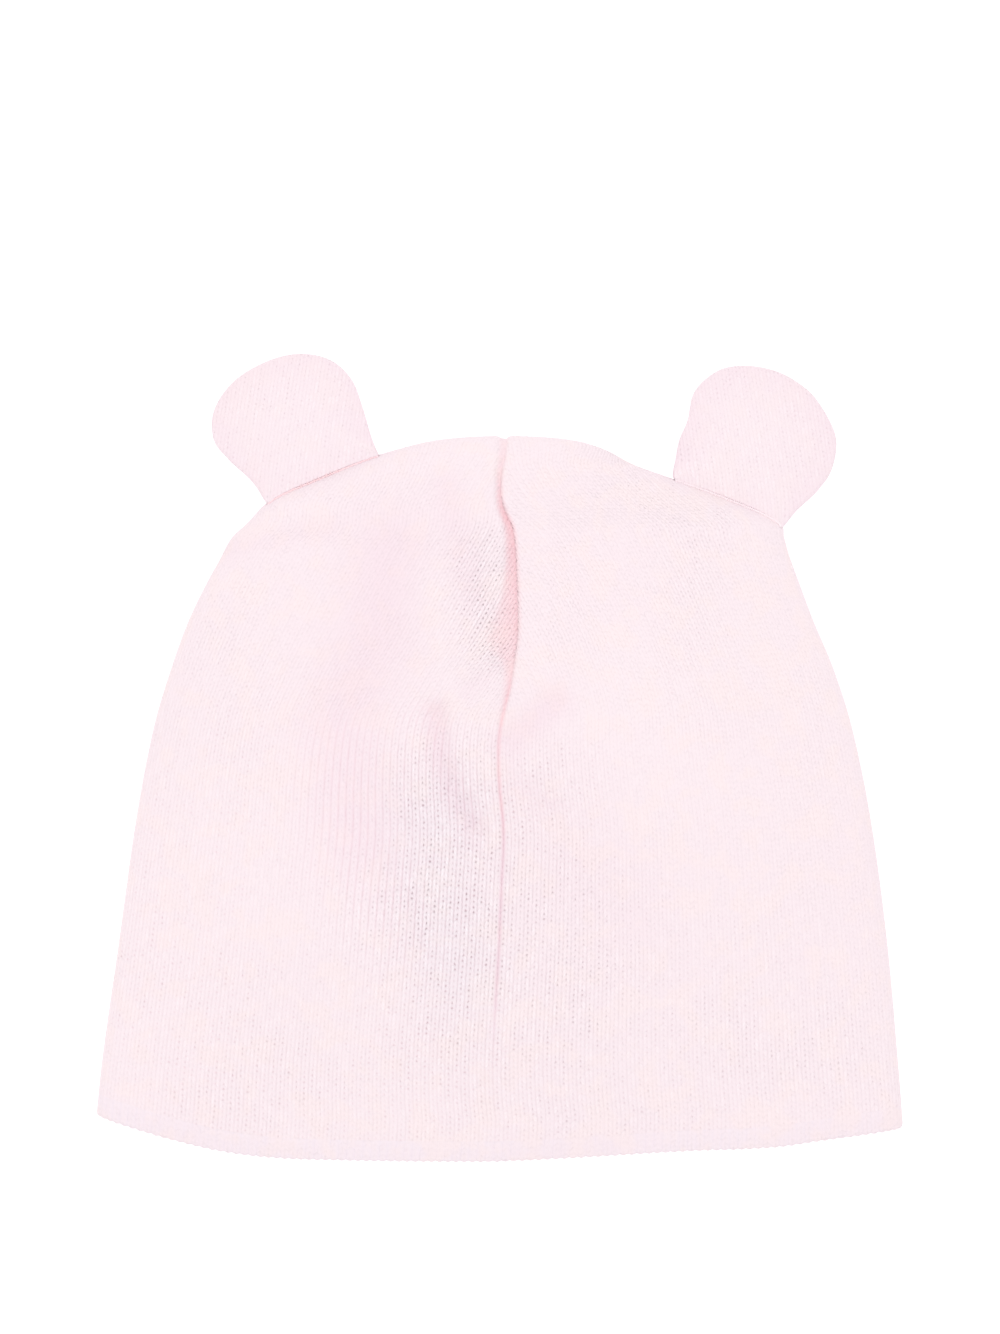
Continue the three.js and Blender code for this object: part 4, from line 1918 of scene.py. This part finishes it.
    def bead(self, bm: bmesh.types.BMesh, point: Array, turn: float, size: Sequence[float]) -> None:
        """Adds a small closed length of thread.

        Args:
            bm: The mesh that it goes into.
            point: Its middle.
            turn: How far it is turned about Z.
            size: Half its length, width and height.
        """
        place = Matrix.Translation(point) @ Matrix.Rotation(turn, 4, "Z") @ Matrix.Diagonal((*size, 1))
        sides, rings = self.bead_sides, self.bead_rings
        bmesh.ops.create_uvsphere(bm, u_segments=sides, v_segments=rings, radius=1.0, matrix=place)

    def stitches(self) -> bpy.types.Mesh:
        """Builds the seam: a thread laid in the groove, and the stitches that catch the ear to the hat.

        Returns:
            The mesh, in the row frame.
        """
        _, along, out = self.axes()
        path = self.seam_points()
        bm = bmesh.new()
        size = (self.thread_length, self.thread_width, self.thread_width)
        for point in path[1:-1]:
            self.bead(bm, point, math.atan2(along[1], along[0]), size)
        lift = np.array([0, 0, self.thread_sink + self.stitch_lift])
        for k, share in enumerate(np.linspace(*self.stitch_reach, self.stitch_count)):
            point = path[int(share * (len(path) - 1))] + lift
            self.bead(bm, point, math.atan2(out[1], out[0]) + self.stitch_leans[k % 2], self.stitch_size)
        for face in bm.faces:
            face.smooth = True
        mesh = bpy.data.meshes.new(f"ear_seam_{self.side.name.lower()}")
        bm.to_mesh(mesh)
        bm.free()
        return mesh

    def place(self) -> list[bpy.types.Object]:
        """Builds the ear and its seam, dresses them and puts them on the frame.

        Returns:
            The ear and its seam.
        """
        pad = show(self.build(), EAR_FINISH.material())
        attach(pad, ROOT)
        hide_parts(f"ear_{self.side.name.lower()}")
        seam = show(self.stitches(), self.thread.material())
        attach(seam, ROOT)
        return [pad, seam]


@dataclass
class Studio:
    """A lit white table, soft light from above and the camera straight over the hat."""

    frame_height: float = 313.5 * MM
    aim: tuple[float, float] = (0.06 * MM, 21.1 * MM)
    aim_height: float = 8 * MM
    distance: float = 1.6
    sensor: float = 36.0
    clip_start: float = 0.01
    white: Colour = (1, 1, 1, 1)
    sky: float = 0.97
    table_half: float = 4.0
    table_drop: float = 0.05 * MM
    table_grey: Colour = (0.4, 0.4, 0.4, 1)
    table_glow: float = 0.75
    table_roughness: float = 0.9
    table_specular: float = 0.1
    key_power: float = 6.0
    key_size: float = 1.6
    key_place: tuple[float, float, float] = (-0.05, 0.35, 1.6)

    def camera(self) -> None:
        """Places the camera over the hat, with the image's top towards the crown."""
        data = bpy.data.cameras.new("camera")
        data.sensor_fit = "VERTICAL"
        data.sensor_height = self.sensor
        data.lens = self.sensor * (self.distance - self.aim_height) / self.frame_height
        data.clip_start = self.clip_start
        camera = bpy.data.objects.new("camera", data)
        camera.location = (*self.aim, self.distance)
        bpy.context.scene.collection.objects.link(camera)
        bpy.context.scene.camera = camera

    def table(self) -> None:
        """Lays the table that the hat rests on."""
        bm = bmesh.new()
        bmesh.ops.create_grid(bm, x_segments=1, y_segments=1, size=self.table_half)
        bmesh.ops.translate(bm, verts=bm.verts, vec=(0, 0, -self.table_drop))
        mesh = bpy.data.meshes.new("table")
        bm.to_mesh(mesh)
        bm.free()
        made, sheet = blank_material("table_white")
        inputs = {
            "Base Color": self.table_grey,
            "Roughness": self.table_roughness,
            "Specular IOR Level": self.table_specular,
            "Emission Color": self.white,
            "Emission Strength": self.table_glow,
        }
        sheet.surface(inputs)
        show(mesh, made)

    def light(self) -> None:
        """Hangs one large soft lamp over the hat, in an evenly lit room."""
        world = bpy.data.worlds.new("room")
        world.use_nodes = True
        background = world.node_tree.nodes["Background"]
        background.inputs["Color"].default_value = self.white
        background.inputs["Strength"].default_value = self.sky
        bpy.context.scene.world = world
        data = bpy.data.lights.new("soft_box", "AREA")
        data.shape = "DISK"
        data.size = self.key_size
        data.energy = self.key_power
        lamp = bpy.data.objects.new("soft_box", data)
        lamp.location = self.key_place
        lamp.rotation_euler = (-lamp.location).to_track_quat("-Z", "Y").to_euler()
        bpy.context.scene.collection.objects.link(lamp)

    def set_up(self) -> None:
        """Sets up the camera, the table and the light, and shows colours as they are."""
        self.camera()
        self.table()
        self.light()
        bpy.context.scene.view_settings.view_transform = "Standard"
        bpy.context.scene.view_settings.look = "None"


def tree_of(piece: bpy.types.Object) -> BVHTree:
    """Makes a tree for rays that are cast at a piece."""
    faces = [tuple(face.vertices) for face in piece.data.polygons]
    return BVHTree.FromPolygons([vertex.co for vertex in piece.data.vertices], faces)


def main() -> None:
    """Builds the hat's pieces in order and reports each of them."""
    logging.basicConfig(level=logging.INFO, format="%(name)s: %(message)s")
    Studio().set_up()
    form = HatForm()
    shell = KnitShell(form)
    pieces = [shell.place()]
    shared = {"shift": shell.outline_shift(), "cloth": tree_of(pieces[0])}
    left = Ear(form, Side.LEFT, outer_up=0.908, inner_up=0.974, bends=LEFT_EAR, **shared)
    right = Ear(
        form,
        Side.RIGHT,
        outer_up=0.878,
        inner_up=0.94,
        bends=RIGHT_EAR,
        thread=PALE_THREAD,
        thread_sink=0.3 * MM,
        thread_width=0.34 * MM,
        **shared,
    )
    for ear in (left, right):
        pieces += ear.place()
    for piece in pieces:
        log.info("%s has %d faces", piece.name, len(piece.data.polygons))


if __name__ == "__main__":
    main()
